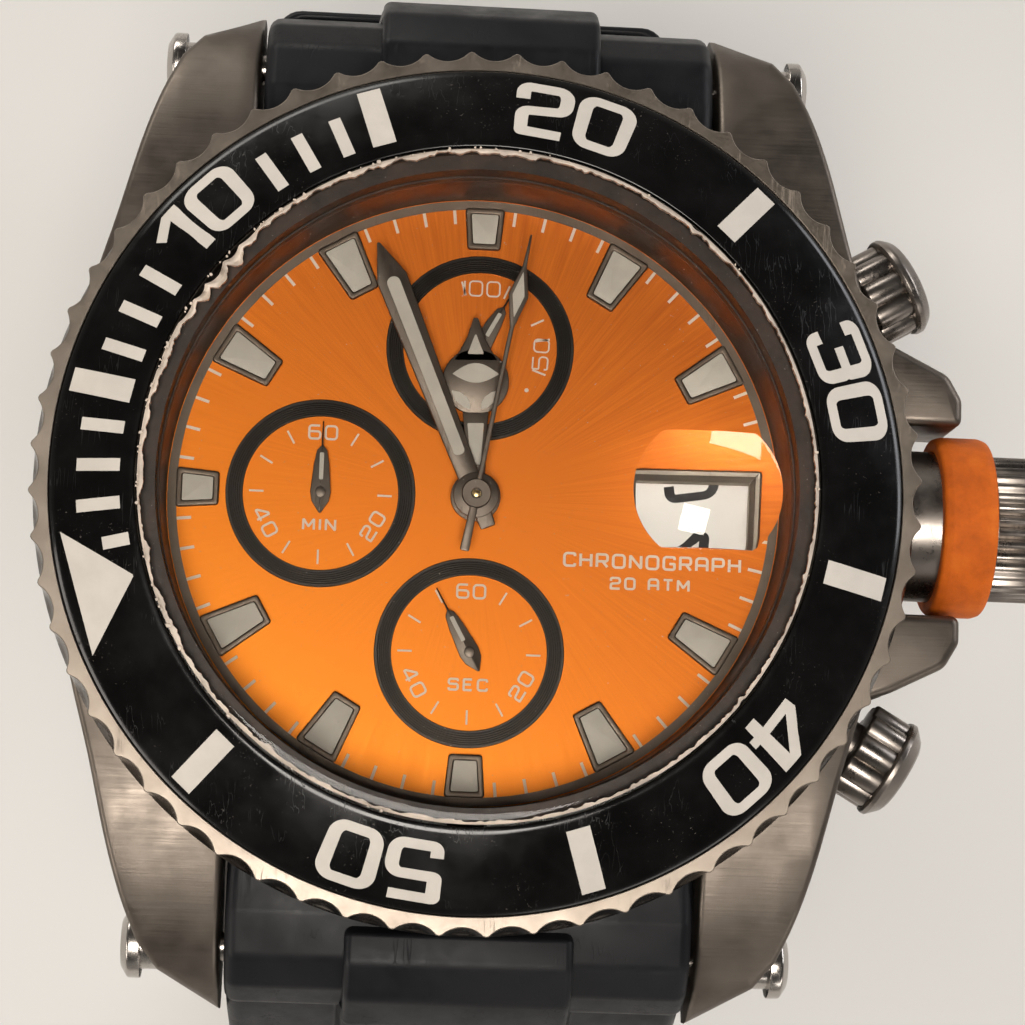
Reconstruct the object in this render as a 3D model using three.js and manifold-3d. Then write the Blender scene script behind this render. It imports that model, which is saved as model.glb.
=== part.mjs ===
// Dive watch with a chronograph: case with lugs, rotating bezel, dial and hands,
// crown, two push buttons, quartz movement and a two-piece strap with a buckle.
// Millimetres, +Z up through the dial, +Y towards 12 o'clock, +X towards the crown.
// Origin: centre of the case back's outer face, on the dial axis.
import * as THREE from 'three';
import { mergeVertices } from 'three/addons/utils/BufferGeometryUtils.js';
import Module from 'manifold-3d';

const wasm = await Module();
wasm.setup();

// ---------- driving dimensions ----------
const SEG = 36;                 // facets of the large round parts
const CASE_BOTTOM = 1.0;        // underside of the case middle
const CASE_TOP = 10.3;          // shoulder under the bezel
const FLANK_R = 21.4;           // round wall between the lugs
const NECK_R = 18.05;           // collar the bezel turns on
const NECK_TOP = 14.3;
const BORE_R = 18.6;            // main bore for the movement
const LIP_R = 17.15;            // lip under the crystal
const LUG_GAP = 13.0;           // half of the gap between the lugs
const LUG_Y = 25.0;             // strap bar axis
const STEM_Z = 4.9;             // height of crown, buttons and strap bars
const CROWN_GAP = 5.35;         // half of the gap between the crown guards
const GUARD_X = 27.4;
const BEZEL_TIP_R = 24.0;       // over the scallops
const BEZEL_VALLEY_R = 23.3;
const BEZEL_BOTTOM = 10.42;
const BEZEL_TOP = 13.9;
const BEZEL_BORE = 18.2;
const SCALLOPS = 60;
const INSERT_R0 = 18.25, INSERT_R1 = 22.9, INSERT_RISE = 1.5, INSERT_T = 0.45;
const CRYSTAL_R = 17.25, CRYSTAL_Z0 = 12.95, CRYSTAL_TOP = 15.5;
const LENS_X = 12.15, LENS_R = 8.7, LENS_HALF = 4.0, LENS_CUT = 3.15;
const DIAL_Z = 8.3, DIAL_T = 0.4, DIAL_R = 18.4;
const SUB_D = 8.55;             // sub-dial centre distance
const SUB_R1 = 5.25, SUB_R0 = 4.3;
const MARK_R1 = 16.5, MARK_R0 = 13.1, MARK_R0_SHORT = 14.15;
const DATE_X = 12.55, DATE_W = 3.5, DATE_H = 2.7;
const BUTTON_ANGLE = 30;        // buttons above and below the crown, degrees
const BUTTON_END = 28.7;
const BUTTON_TRAVEL = 0.9;
const CROWN_R = 5.1;
const STRAP_T = 3.8;            // strap thickness at its sides
const STRAP_HALF_W0 = 12.7, STRAP_HALF_W1 = 11.0;
const RIDGE_HALF = 6.2;         // raised middle section

const D2R = Math.PI / 180;

// ---------- helpers ----------
function clean(geo) {
  let g = geo.clone();
  for (const n of Object.keys(g.attributes)) if (n !== 'position') g.deleteAttribute(n);
  g = mergeVertices(g, 1e-4);
  const p = g.attributes.position, idx = Array.from(g.index.array), keep = [];
  for (let i = 0; i < idx.length; i += 3) {
    const [a, b, c] = [idx[i], idx[i + 1], idx[i + 2]];
    if (a !== b && b !== c && a !== c) keep.push(a, b, c);
  }
  let v = 0;
  const A = new THREE.Vector3(), B = new THREE.Vector3(), C = new THREE.Vector3();
  for (let i = 0; i < keep.length; i += 3) {
    A.fromBufferAttribute(p, keep[i]); B.fromBufferAttribute(p, keep[i + 1]); C.fromBufferAttribute(p, keep[i + 2]);
    v += A.dot(B.cross(C));
  }
  if (v < 0) for (let i = 0; i < keep.length; i += 3) { const t = keep[i + 1]; keep[i + 1] = keep[i + 2]; keep[i + 2] = t; }
  const out = new THREE.BufferGeometry();
  out.setAttribute('position', p);
  out.setIndex(keep);
  return out;
}
function toM(geo) {
  const g = clean(geo);
  return new wasm.Manifold(new wasm.Mesh({
    numProp: 3,
    vertProperties: new Float32Array(g.attributes.position.array),
    triVerts: new Uint32Array(g.index.array),
  }));
}
function fromM(m) {
  const k = m.getMesh();
  const g = new THREE.BufferGeometry();
  g.setAttribute('position', new THREE.BufferAttribute(new Float32Array(k.vertProperties), 3));
  g.setIndex(Array.from(k.triVerts));
  return g;
}
const union = (...m) => m.reduce((a, b) => a.add(b));
const minus = (a, ...m) => m.reduce((x, y) => x.subtract(y), a);

// Solid of revolution about Z from [radius, z] points; a ring's outline closes on itself.
function lathe(pts, seg = SEG, ring = false) {
  const v = pts.map(([r, z]) => new THREE.Vector2(r, z));
  if (ring) v.push(v[0].clone());
  const g = new THREE.LatheGeometry(v, seg);
  g.rotateX(Math.PI / 2);
  return clean(g);
}
// Vertical prism from [x, y] points.
function prism(pts, z0, z1, holes = []) {
  const s = new THREE.Shape(pts.map(([x, y]) => new THREE.Vector2(x, y)));
  for (const h of holes) s.holes.push(new THREE.Path(h.map(([x, y]) => new THREE.Vector2(x, y))));
  const g = new THREE.ExtrudeGeometry(s, { depth: z1 - z0, bevelEnabled: false, curveSegments: 1 });
  g.translate(0, 0, z0);
  return clean(g);
}
// Prism along X from [y, z] points.
function prismX(pts, x0, x1) {
  const g = prism(pts, x0, x1);
  g.applyMatrix4(new THREE.Matrix4().set(0, 0, 1, 0, 1, 0, 0, 0, 0, 1, 0, 0, 0, 0, 0, 1));
  return clean(g);
}
function box(x0, x1, y0, y1, z0, z1) {
  const g = new THREE.BoxGeometry(x1 - x0, y1 - y0, z1 - z0);
  g.translate((x0 + x1) / 2, (y0 + y1) / 2, (z0 + z1) / 2);
  return g;
}
// Round bar along Z.
function rod(r, z0, z1, seg = 24, x = 0, y = 0) {
  const g = new THREE.CylinderGeometry(r, r, z1 - z0, seg);
  g.rotateX(Math.PI / 2);
  g.translate(x, y, (z0 + z1) / 2);
  return g;
}
// Turns a shape built along Z so that it runs along +X, at height z.
function alongX(geo, z = 0, y = 0) {
  const g = geo.clone();
  g.rotateY(Math.PI / 2);
  g.translate(0, y, z);
  return g;
}
const circle = (r, n, cx = 0, cy = 0, a0 = 0) =>
  Array.from({ length: n }, (_, i) => [cx + r * Math.cos(a0 + 2 * Math.PI * i / n), cy + r * Math.sin(a0 + 2 * Math.PI * i / n)]);
// Toothed outline with triangular teeth.
const teeth = (r1, r0, n, cx = 0, cy = 0) =>
  Array.from({ length: 2 * n }, (_, i) => { const r = i % 2 ? r0 : r1, a = Math.PI * i / n; return [cx + r * Math.cos(a), cy + r * Math.sin(a)]; });

// ---------- materials ----------
const mat = (color, roughness, metalness, extra = {}) => new THREE.MeshStandardMaterial({ color, roughness, metalness, ...extra });
const STEEL = mat(0xa9a6a1, 0.38, 1.0);
const STEEL_POL = mat(0xc9c6c2, 0.15, 1.0);
const BLACK_GLOSS = mat(0x0b0b0c, 0.18, 0.0);
const ORANGE = mat(0xe0761a, 0.45, 0.2);
const ORANGE_RUBBER = mat(0xe8740c, 0.75, 0.0);
const RUBBER = mat(0x141416, 0.55, 0.0);
const DARK_METAL = mat(0x3b3937, 0.35, 0.8);
const BRASS = mat(0xc8a45a, 0.35, 1.0);
const GLASS = mat(0xffffff, 0.05, 0.0, { transparent: true, opacity: 0.25 });
const WHITE = mat(0xe8e6e0, 0.6, 0.0);
const COPPER = mat(0xb5652c, 0.4, 1.0);
const GREEN = mat(0x1f5a34, 0.6, 0.0);

const watch = new THREE.Group();
function add(name, geo, material, parent = watch) {
  const m = new THREE.Mesh(geo, material);
  m.name = name;
  parent.add(m);
  return m;
}

// ---------- case middle ----------
// Plan outline of one quarter, from the flank to the lug tip.
const Q = [[22.6, 0], [22.5, 4.5], [21.9, 9.5], [20.4, 15.0], [19.1, 20.0], [18.5, 22.3], [17.8, 24.7], [16.6, 26.6], [13.4, 28.15], [11.0, 28.6]];
const plan = [];
for (const [x, y] of Q) plan.push([x, y]);
for (const [x, y] of Q.slice(1).reverse()) plan.push([-x, y]);
plan.push([-Q[0][0], 0]);
for (const [x, y] of Q.slice(1)) plan.push([-x, -y]);
for (const [x, y] of Q.slice(1).reverse()) plan.push([x, -y]);
// Side outline: the lugs curve down towards their tips.
const half = [[0, CASE_TOP], [15.5, CASE_TOP], [19.5, 9.75], [23, 8.75], [26, 7.2], [27.6, 5.5], [28.5, 3.6], [28.5, 2.0], [27.6, 0.95], [24.5, 0.85], [20, CASE_BOTTOM], [0, CASE_BOTTOM]];
const side = [];
for (const [y, z] of half) side.push([y, z]);
for (const [y, z] of half.slice(1, -1).reverse()) side.push([-y, z]);
const lugCut = (s) => toM(box(-LUG_GAP, LUG_GAP, s > 0 ? 12 : -31, s > 0 ? 31 : -12, -1, 12)).subtract(toM(lathe([[0, -2], [FLANK_R, -2], [FLANK_R, 13], [0, 13]], SEG)));
const guard = [[20.5, 5.35], [GUARD_X, 5.35], [GUARD_X, 6.9], [26.6, 8.3], [23.6, 9.8], [20.5, 10.8]];
const guardZ0 = 1.9, guardZ1 = 8.1;
let body = toM(prism(plan, 0.5, 11)).intersect(toM(prismX(side, -25, 25)));
body = union(body,
  toM(prism(guard, guardZ0, guardZ1)),
  toM(prism(guard.map(([x, y]) => [x, -y]).reverse(), guardZ0, guardZ1)),
  toM(lathe([[0, 9], [NECK_R, 9], [NECK_R, NECK_TOP], [0, NECK_TOP]])));
body = minus(body, lugCut(1), lugCut(-1),
  toM(lathe([[0, 0], [BORE_R, 0], [BORE_R, 10.0], [17.5, 10.0], [17.5, 12.2], [LIP_R, 12.2], [LIP_R, 12.9], [17.62, 12.9], [17.62, 15], [0, 15]])),
  toM(lathe([[18.72, 0.5], [19.4, 0.5], [19.4, 1.5], [18.72, 1.5]], SEG, true)),
  toM(alongX(rod(2.25, 17, 24, 16), STEM_Z)));
for (const s of [1, -1]) {
  const c = alongX(rod(1.95, 17, 25, 12), STEM_Z); c.rotateZ(s * BUTTON_ANGLE * D2R);
  const flat = alongX(rod(3.55, 23.45, 32, 16), STEM_Z); flat.rotateZ(s * BUTTON_ANGLE * D2R);
  body = minus(body, toM(c), toM(flat));
  const h = alongX(rod(0.95, -20, 20, 12), STEM_Z, s * LUG_Y);
  const cb = alongX(rod(1.5, 14.9, 20, 12), STEM_Z, s * LUG_Y);
  const cb2 = alongX(rod(1.5, -20, -14.9, 12), STEM_Z, s * LUG_Y);
  const sp = alongX(rod(2.1, 17.25, 22, 12), STEM_Z, s * LUG_Y);
  const sp2 = alongX(rod(2.1, -22, -17.25, 12), STEM_Z, s * LUG_Y);
  body = minus(body, toM(h), toM(cb), toM(cb2), toM(sp), toM(sp2));
}
add('case_middle', fromM(body), STEEL);

// ---------- case back and its seal ----------
let back = toM(lathe([[0, 0], [15.8, 0], [16.6, 0.45], [19.9, 0.45], [19.9, 0.95], [18.5, 0.95], [18.5, 2.1], [17.4, 2.1], [17.4, 1.5], [0, 1.5]]));
for (let i = 0; i < 6; i++) {
  const n = box(17.4, 20.5, -1.3, 1.3, -0.2, 0.72); n.rotateZ(i * Math.PI / 3 + Math.PI / 6);
  back = back.subtract(toM(n));
}
add('case_back', fromM(back), STEEL);
add('case_back_gasket', lathe([[18.78, 1.0], [19.34, 1.0], [19.34, 1.44], [18.78, 1.44]], SEG, true), RUBBER);

// ---------- crystal, seal and inner ring ----------
let crystal = toM(lathe([[0, CRYSTAL_Z0], [CRYSTAL_R, CRYSTAL_Z0], [CRYSTAL_R, CRYSTAL_TOP - 0.3], [CRYSTAL_R - 0.35, CRYSTAL_TOP], [0, CRYSTAL_TOP]]));
add('crystal', fromM(crystal), GLASS);
const sag = LENS_R - Math.sqrt(LENS_R ** 2 - LENS_HALF ** 2);
const lensPts = [[0, 0], [LENS_HALF, 0]];
for (let i = 1; i <= 4; i++) { const r = LENS_HALF * (1 - i / 4); lensPts.push([r, sag - (LENS_R - Math.sqrt(LENS_R ** 2 - r * r)) + 0.12]); }
lensPts.splice(2, 0, [LENS_HALF, 0.12]);
let lens = toM(lathe(lensPts, 16)).intersect(toM(box(-5, 5, -LENS_CUT, LENS_CUT, -1, 3)));
const lensG = fromM(lens); lensG.translate(LENS_X, 0, CRYSTAL_TOP + 0.02);
add('date_lens', lensG, GLASS);
add('crystal_gasket', lathe([[17.3, 12.95], [17.57, 12.95], [17.57, 14.75], [17.3, 14.75]], SEG, true), BLACK_GLOSS);
add('inner_ring', lathe([[17.04, DIAL_Z + 0.03], [18.5, DIAL_Z + 0.03], [18.5, 9.95], [17.42, 9.95], [17.42, 12.15], [17.14, 12.15]], SEG, true), STEEL_POL);

// ---------- dial ----------
const rect = (x0, x1, y0, y1) => [[x0, y0], [x1, y0], [x1, y1], [x0, y1]];
const subs = { 12: [0, SUB_D], 6: [0, -SUB_D], 9: [-SUB_D, 0] };
add('dial', prism(circle(DIAL_R, SEG), DIAL_Z - DIAL_T, DIAL_Z, [
  circle(1.2, 12).reverse(),
  ...Object.values(subs).map(([x, y]) => circle(0.5, 10, x, y).reverse()),
  rect(DATE_X - DATE_W / 2, DATE_X + DATE_W / 2, -DATE_H / 2, DATE_H / 2).reverse(),
]), ORANGE);
for (const [k, [x, y]] of Object.entries(subs)) {
  const g = lathe([[SUB_R0, DIAL_Z], [SUB_R1, DIAL_Z], [SUB_R1, DIAL_Z + 0.16], [SUB_R0, DIAL_Z + 0.16]], 24, true);
  g.translate(x, y, 0);
  add(`subdial_ring_${k}`, g, DARK_METAL);
}
add('date_frame', prism(rect(DATE_X - DATE_W / 2 - 0.35, DATE_X + DATE_W / 2 + 0.35, -DATE_H / 2 - 0.35, DATE_H / 2 + 0.35), DIAL_Z + 0.01, DIAL_Z + 0.2,
  [rect(DATE_X - DATE_W / 2, DATE_X + DATE_W / 2, -DATE_H / 2, DATE_H / 2).reverse()]), DARK_METAL);
// Applied hour markers, all but 3 o'clock, on one thin carrier rim at the dial's edge.
let marks = toM(lathe([[16.45, DIAL_Z], [17.0, DIAL_Z], [17.0, DIAL_Z + 0.08], [16.45, DIAL_Z + 0.08]], SEG, true));
for (let h = 1; h <= 12; h++) {
  if (h === 3) continue;
  const short = h === 12 || h === 6 || h === 9;
  const r0 = short ? MARK_R0_SHORT : MARK_R0, w1 = short ? 1.12 : 1.3, w0 = short ? 0.92 : 0.86;
  const m = prism([[-w0, r0], [w0, r0], [w1, MARK_R1], [-w1, MARK_R1]], DIAL_Z, DIAL_Z + 0.4);
  m.rotateZ(-h * 30 * D2R);
  marks = marks.add(toM(m));
}
add('hour_markers', fromM(marks), STEEL_POL);

// ---------- movement ----------
let holder = toM(lathe([[15.9, 2.5], [18.45, 2.5], [18.45, 7.8], [15.9, 7.8]], SEG, true));
holder = holder.subtract(toM(alongX(rod(1.1, 14, 20, 12), STEM_Z)));
for (const s of [1, -1]) { const c = alongX(rod(0.9, 14, 20, 12), STEM_Z); c.rotateZ(s * BUTTON_ANGLE * D2R); holder = holder.subtract(toM(c)); }
add('movement_holder', fromM(holder), mat(0xd8d4c8, 0.7, 0));
add('main_plate', prism(circle(15.6, SEG), 6.2, 7.0, [circle(1.15, 12).reverse(), ...Object.values(subs).map(([x, y]) => circle(0.42, 10, x, y).reverse())]), BRASS);
add('train_bridge', prism([...circle(12.5, 36, 0, 0, 0).filter(([x, y]) => x < 7.5)], 4.35, 4.75), STEEL);
add('circuit_board', prism([[-14, -4.5], [-10, -9.5], [-4, -12.5], [2.2, -12.8], [2.2, -6.2], [-5, -4.5]], 2.9, 3.2), GREEN);
add('battery', lathe([[0, 2.3], [4.3, 2.3], [4.3, 3.9], [4.75, 4.0], [4.75, 4.25], [0, 4.25]], 24), STEEL_POL).position.set(-4.5, 5.6, 0);
add('drive_coil', alongX(rod(0.75, -3.7, 3.7, 12), 3.3, 0), COPPER).position.set(7.7, -7.2, 0);
add('coil_core', fromM(minus(toM(box(2.6, 12.8, -8.4, -6.0, 2.5, 4.1)), toM(box(3.8, 11.6, -9, -5, 2, 5)), ).add(toM(box(2.6, 12.8, -5.8, -5.2, 2.5, 4.1))).add(toM(box(2.6, 3.8, -6.2, -5.5, 2.5, 4.1))).add(toM(box(11.6, 12.8, -6.2, -5.5, 2.5, 4.1)))), STEEL);
add('quartz_can', alongX(rod(0.75, 0, 5.6, 12), 2.75, 0), STEEL_POL).position.set(3.2, 9.2, 0);

// Wheels: toothed disc with its arbor or pipe.
function wheel(r, n, gz0, gz1, arborR, z0, z1, bore = 0) {
  let w = toM(prism(teeth(r, r - 0.45, n), gz0, gz1)).add(toM(rod(arborR, z0, z1, 10)));
  if (bore) w = w.subtract(toM(rod(bore, z0 - 1, z1 + 1, 10)));
  return fromM(w);
}
add('hour_wheel', wheel(3.3, 14, 7.12, 7.36, 0.98, 7.12, 9.38, 0.74), BRASS);
add('cannon_pinion', wheel(2.6, 12, 5.55, 5.8, 0.62, 5.55, 9.98, 0.4), BRASS);
add('chrono_wheel', wheel(3.3, 14, 4.95, 5.2, 0.3, 4.85, 10.66), BRASS);
for (const [k, n] of [[6, 'small_seconds_wheel'], [9, 'minute_counter_wheel'], [12, 'fraction_counter_wheel']]) {
  add(n, wheel(2.4, 12, 5.55, 5.8, 0.25, 4.85, 8.73), BRASS).position.set(...subs[k], 0);
}
// Date wheel: flat numbered ring under the dial.
add('date_wheel', prism(circle(15.3, SEG), 7.12, 7.42, [circle(10.9, 24).reverse()]), WHITE);

// ---------- hands ----------
// Blade along +Y, turned clockwise by its angle; hub disc around the pivot.
function hand(pts, z0, z1, hubR, hubZ1, angle, extra = [], bore = 0) {
  let h = toM(prism(pts, z0, z1)).add(toM(rod(hubR, z0, hubZ1, 12)));
  for (const e of extra) h = h.add(toM(e));
  if (bore) h = h.subtract(toM(rod(bore, z0 - 1, hubZ1 + 1, 10)));
  const g = fromM(h);
  g.rotateZ(-angle * D2R);
  return g;
}
const mirrorPts = (r) => [...r.map(([x, y]) => [x, y]), ...r.slice().reverse().filter(([x]) => x > 1e-6).map(([x, y]) => [-x, y])];
add('hour_hand', hand(mirrorPts([[0.5, -1.0], [0.42, 4.6], [0.55, 8.3], [0.75, 8.4], [0, 10.15]]), 9.4, 9.6, 1.38, 9.7, -2.0,
  [rod(1.85, 9.4, 9.6, 16, 0, 6.45)], 0.66), DARK_METAL);
add('minute_hand', hand(mirrorPts([[0.55, -1.9], [0.75, 1.0], [0.75, 13.4], [0, 15.35]]), 10.0, 10.2, 1.25, 10.3, -23.1, [], 0.34), DARK_METAL);
add('chrono_seconds_hand', hand(mirrorPts([[0.22, -3.25], [0.13, 0], [0.13, 9.6], [0.62, 11.4], [0.1, 13.0], [0, 14.85]]), 10.7, 10.84, 0.8, 10.95, 9.8), DARK_METAL);
for (const [k, n, a] of [[6, 'small_seconds_hand', -29], [9, 'minute_counter_hand', 0], [12, 'fraction_counter_hand', 28]]) {
  add(n, hand(mirrorPts([[0.12, -1.17], [0.58, 0.1], [0.5, 1.4], [0.12, 2.5], [0, 4.0]]), 8.75, 8.9, 0.55, 8.98, a), DARK_METAL).position.set(...subs[k], 0);
}

// ---------- bezel ----------
const scallop = [];
for (let i = 0; i < SCALLOPS; i++) {
  const a = (i * 360 / SCALLOPS) * D2R, st = 2 * Math.PI / SCALLOPS;
  scallop.push([BEZEL_TIP_R * Math.cos(a), BEZEL_TIP_R * Math.sin(a)],
    [BEZEL_VALLEY_R * Math.cos(a + 0.5 * st), BEZEL_VALLEY_R * Math.sin(a + 0.5 * st)]);
}
const zi0 = BEZEL_TOP + INSERT_RISE - INSERT_T, zi1 = BEZEL_TOP - INSERT_T;
let bez = toM(prism(scallop, BEZEL_BOTTOM, BEZEL_TOP + 2));
bez = minus(bez,
  toM(lathe([[0, 9], [BEZEL_BORE, 9], [BEZEL_BORE, zi0], [INSERT_R1 + 0.02, zi1], [INSERT_R1 + 0.02, BEZEL_TOP], [26, BEZEL_TOP], [26, 18], [0, 18]])),
  toM(lathe([[18.0, 12.0], [18.75, 12.0], [18.75, 12.6], [18.0, 12.6]], SEG, true)),
  toM(lathe([[19.0, 9.5], [21.2, 9.5], [21.2, 10.95], [19.0, 10.95]], SEG, true)));
add('bezel_ring', fromM(bez), STEEL_POL);
add('bezel_insert', lathe([[INSERT_R0, zi0 + 0.03], [INSERT_R1, zi1 + 0.03], [INSERT_R1, BEZEL_TOP], [INSERT_R0, BEZEL_TOP + INSERT_RISE]], SEG, true), BLACK_GLOSS);
add('bezel_retaining_wire', fromM(toM(lathe([[18.12, 12.08], [18.55, 12.08], [18.55, 12.52], [18.12, 12.52]], SEG, true)).subtract(toM(box(-1, 1, -20, -17, 11, 13)))), STEEL);
add('bezel_click_spring', fromM(toM(lathe([[19.15, CASE_TOP], [20.9, CASE_TOP], [20.9, 10.5], [19.15, 10.5]], 36, true))
  .add(toM(box(19.4, 20.6, -0.4, 0.4, 10.45, 10.8)))), STEEL);

// ---------- crown ----------
add('crown_tube', fromM(minus(toM(lathe([[1.0, 18.9], [2.2, 18.9], [2.2, 24.9], [1.0, 24.9]], 16, true)))), STEEL).applyMatrix4(new THREE.Matrix4().makeTranslation(0, 0, STEM_Z).multiply(new THREE.Matrix4().makeRotationY(Math.PI / 2)));
const CM = new THREE.Matrix4().makeTranslation(0, 0, STEM_Z).multiply(new THREE.Matrix4().makeRotationY(Math.PI / 2));
// Crown body: hollow skirt over the tube, seat for the grip ring, knurled end cap.
let crown = toM(lathe([[0, 25.9], [1.2, 25.9], [1.2, 25.6], [2.4, 25.6], [2.4, 24.2], [4.3, 24.2], [4.3, 29.3], [0, 29.3]], 24));
crown = crown.add(toM((() => { const g = prism(teeth(4.15, 3.88, 16), 29.25, 32.6); return g; })())).add(toM(lathe([[0, 32.5], [3.85, 32.5], [3.5, 33.1], [0, 33.1]], 16)));
crown = crown.subtract(toM(rod(0.62, 25, 29, 12)));
add('crown', fromM(crown), STEEL).applyMatrix4(CM);
add('crown_grip_ring', lathe([[4.33, 26.1], [4.95, 26.1], [5.15, 26.6], [5.15, 28.7], [4.9, 29.15], [4.33, 29.15]], 24, true), ORANGE_RUBBER).applyMatrix4(CM);
add('crown_gasket', lathe([[1.3, 25.0], [2.3, 25.0], [2.3, 25.55], [1.3, 25.55]], 16, true), RUBBER).applyMatrix4(CM);
add('winding_stem', fromM(toM(rod(0.6, 8.5, 28.8, 12)).add(toM(rod(0.85, 9.2, 11.4, 12)))), STEEL).applyMatrix4(CM);

// ---------- push buttons ----------
for (const [n, s] of [['upper', 1], ['lower', -1]]) {
  const g = new THREE.Group();
  g.rotation.z = s * BUTTON_ANGLE * D2R;
  watch.add(g);
  const M = CM;
  add(`button_tube_${n}`, lathe([[1.5, 19.2], [1.9, 19.2], [1.9, 23.5], [2.5, 23.5], [2.5, 23.8], [1.5, 23.8]], 12, true), STEEL, g).applyMatrix4(M);
  let b = toM(prism(teeth(2.75, 2.45, 10), 25.3, 27.6)).add(toM(lathe([[0, 27.5], [2.85, 27.5], [2.95, 27.9], [2.7, 28.4], [1.9, BUTTON_END], [0, BUTTON_END]], 16)));
  b = b.add(toM(rod(0.6, 18.95, 25.5, 12))).add(toM(rod(1.35, 24.8, 25.4, 12)));
  add(`button_${n}`, fromM(b), STEEL_POL, g).applyMatrix4(M);
  add(`button_spring_${n}`, lathe([[0.8, 20.0], [1.35, 20.0], [1.35, 22.9], [0.8, 22.9]], 12, true), STEEL, g).applyMatrix4(M);
}

// ---------- strap bars and screws ----------
for (const [n, s] of [['12', 1], ['6', -1]]) {
  const bar = toM(rod(0.85, -16.0, 14.2, 12)).add(toM(rod(1.4, -16.1, -15.0, 12))).add(toM(lathe([[0, -18.45], [1.5, -18.45], [1.9, -18.1], [1.9, -17.35], [1.4, -17.35], [1.4, -16.0], [0, -16.0]], 12)));
  const scr = lathe([[0, 14.25], [0.85, 14.25], [0.85, 14.95], [1.4, 14.95], [1.4, 17.35], [1.9, 17.35], [1.9, 18.1], [1.5, 18.45], [0, 18.45]], 12);
  add(`strap_bar_${n}`, alongX(fromM(bar), STEM_Z, s * LUG_Y), STEEL_POL);
  add(`strap_screw_${n}`, alongX(scr, STEM_Z, s * LUG_Y), STEEL_POL);
}

// ---------- strap ----------
// Centre line in the YZ plane: heading (degrees below horizontal, outward) against length.
function path(h0, h1, L1, r2, flat) {
  const total = L1 + (180 - h1) * D2R * r2 + flat;
  return { total, L1, r2, h0, h1, corner: L1 + (180 - h1) * D2R * r2 };
}
function station(P, s) {
  // position (outward y, z) and heading at length s, by fine steps
  let y = 0, z = 0, h = P.h0 * D2R;
  const n = Math.max(2, Math.ceil(Math.abs(s) / 0.25)), ds = s / n;
  for (let i = 0; i < n; i++) {
    const m = (i + 0.5) * ds;
    if (m < 0) h = P.h0 * D2R;
    else if (m < P.L1) h = (P.h0 + (P.h1 - P.h0) * m / P.L1) * D2R;
    else if (m < P.corner) h = P.h1 * D2R + (m - P.L1) / P.r2;
    else h = Math.PI;
    y += Math.cos(h) * ds; z -= Math.sin(h) * ds;
  }
  return { y, z, h };
}
const P12 = path(66, 96, 49.5, 14, 16);
const P6 = path(60, 93, 47.6, 16, 22);
const TAIL_END = 92, PIN_S = 70.2;
const KEEPER_S = 37;            // sliding keeper at rest

// Cross-section at length s: [x, n] with n along the outward normal.
function section(s, end) {
  const t = Math.min(1, Math.max(0, s / 62));
  let w = STRAP_HALF_W0 + (STRAP_HALF_W1 - STRAP_HALF_W0) * Math.min(1, Math.max(0, (s - 4) / 50));
  const k = Math.min(1, Math.max(0, (s - 2) / 50));
  const to = STRAP_T / 2 + 0.3 * (1 - k) - 0.15 * k, ti = -(STRAP_T / 2 + 0.4 * (1 - k) - 0.2 * k);
  const rh = to + 1.3 * (1 - Math.min(1, Math.max(0, (s - 14) / 19))) + 0.02;
  if (end) w *= end;
  const rw = Math.min(RIDGE_HALF, w - 1.2);
  return [[-w, ti], [w, ti], [w, to - 0.3], [w - 0.3, to], [rw + 0.5, to], [rw, rh], [-rw, rh], [-rw - 0.5, to], [-w + 0.3, to], [-w, to - 0.3]];
}
function sweep(P, stations, side, ends = {}) {
  const rows = stations.map((s) => {
    const c = station(P, s), ny = Math.sin(c.h), nz = Math.cos(c.h);
    return section(s, ends[s]).map(([x, n]) => [x, side * (LUG_Y + c.y + n * ny), STEM_Z + c.z + n * nz]);
  });
  const m = rows[0].length, pos = [], idx = [];
  for (const r of rows) for (const v of r) pos.push(...v);
  for (let i = 0; i + 1 < rows.length; i++) for (let j = 0; j < m; j++) {
    const a = i * m + j, b = i * m + (j + 1) % m, c = a + m, d = b + m;
    idx.push(a, b, d, a, d, c);
  }
  const cap = THREE.ShapeUtils.triangulateShape(section(0).map(([x, n]) => new THREE.Vector2(x, n)), []);
  const L = (rows.length - 1) * m;
  for (const [a, b, c] of cap) { idx.push(c, b, a); idx.push(L + a, L + b, L + c); }
  const g = new THREE.BufferGeometry();
  g.setAttribute('position', new THREE.Float32BufferAttribute(pos, 3));
  g.setIndex(idx);
  return clean(g);
}
// End block between the lugs: top falls away from the bezel, inner end follows the round case wall.
function endBlock(side) {
  const prof = [[-6.2, 4.35], [-2.0, 4.35], [0.5, 3.8], [2.1, 2.4], [3.1, 0.4], [2.2, -2.0], [0, -2.9], [-2.4, -2.6], [-6.2, -1.2]];
  const g = prismX(prof.map(([y, z]) => [side * (LUG_Y + y), STEM_Z + z]), -STRAP_HALF_W0, STRAP_HALF_W0);
  const ridge = prismX([[-1.9, 4.3], [-1.5, 5.0], [0.6, 5.0], [2.6, 3.9], [4.2, 1.2], [3.0, -1.0], [0, 0], [-1.9, 2]].map(([y, z]) => [side * (LUG_Y + y), STEM_Z + z]), -RIDGE_HALF, RIDGE_HALF);
  return toM(g).add(toM(ridge)).subtract(toM(lathe([[0, -4], [23.75, -4], [23.75, 14], [0, 14]], 64)));
}
const barHole = (side) => toM(alongX(rod(0.97, -14, 14, 12), STEM_Z, side * LUG_Y));
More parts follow.
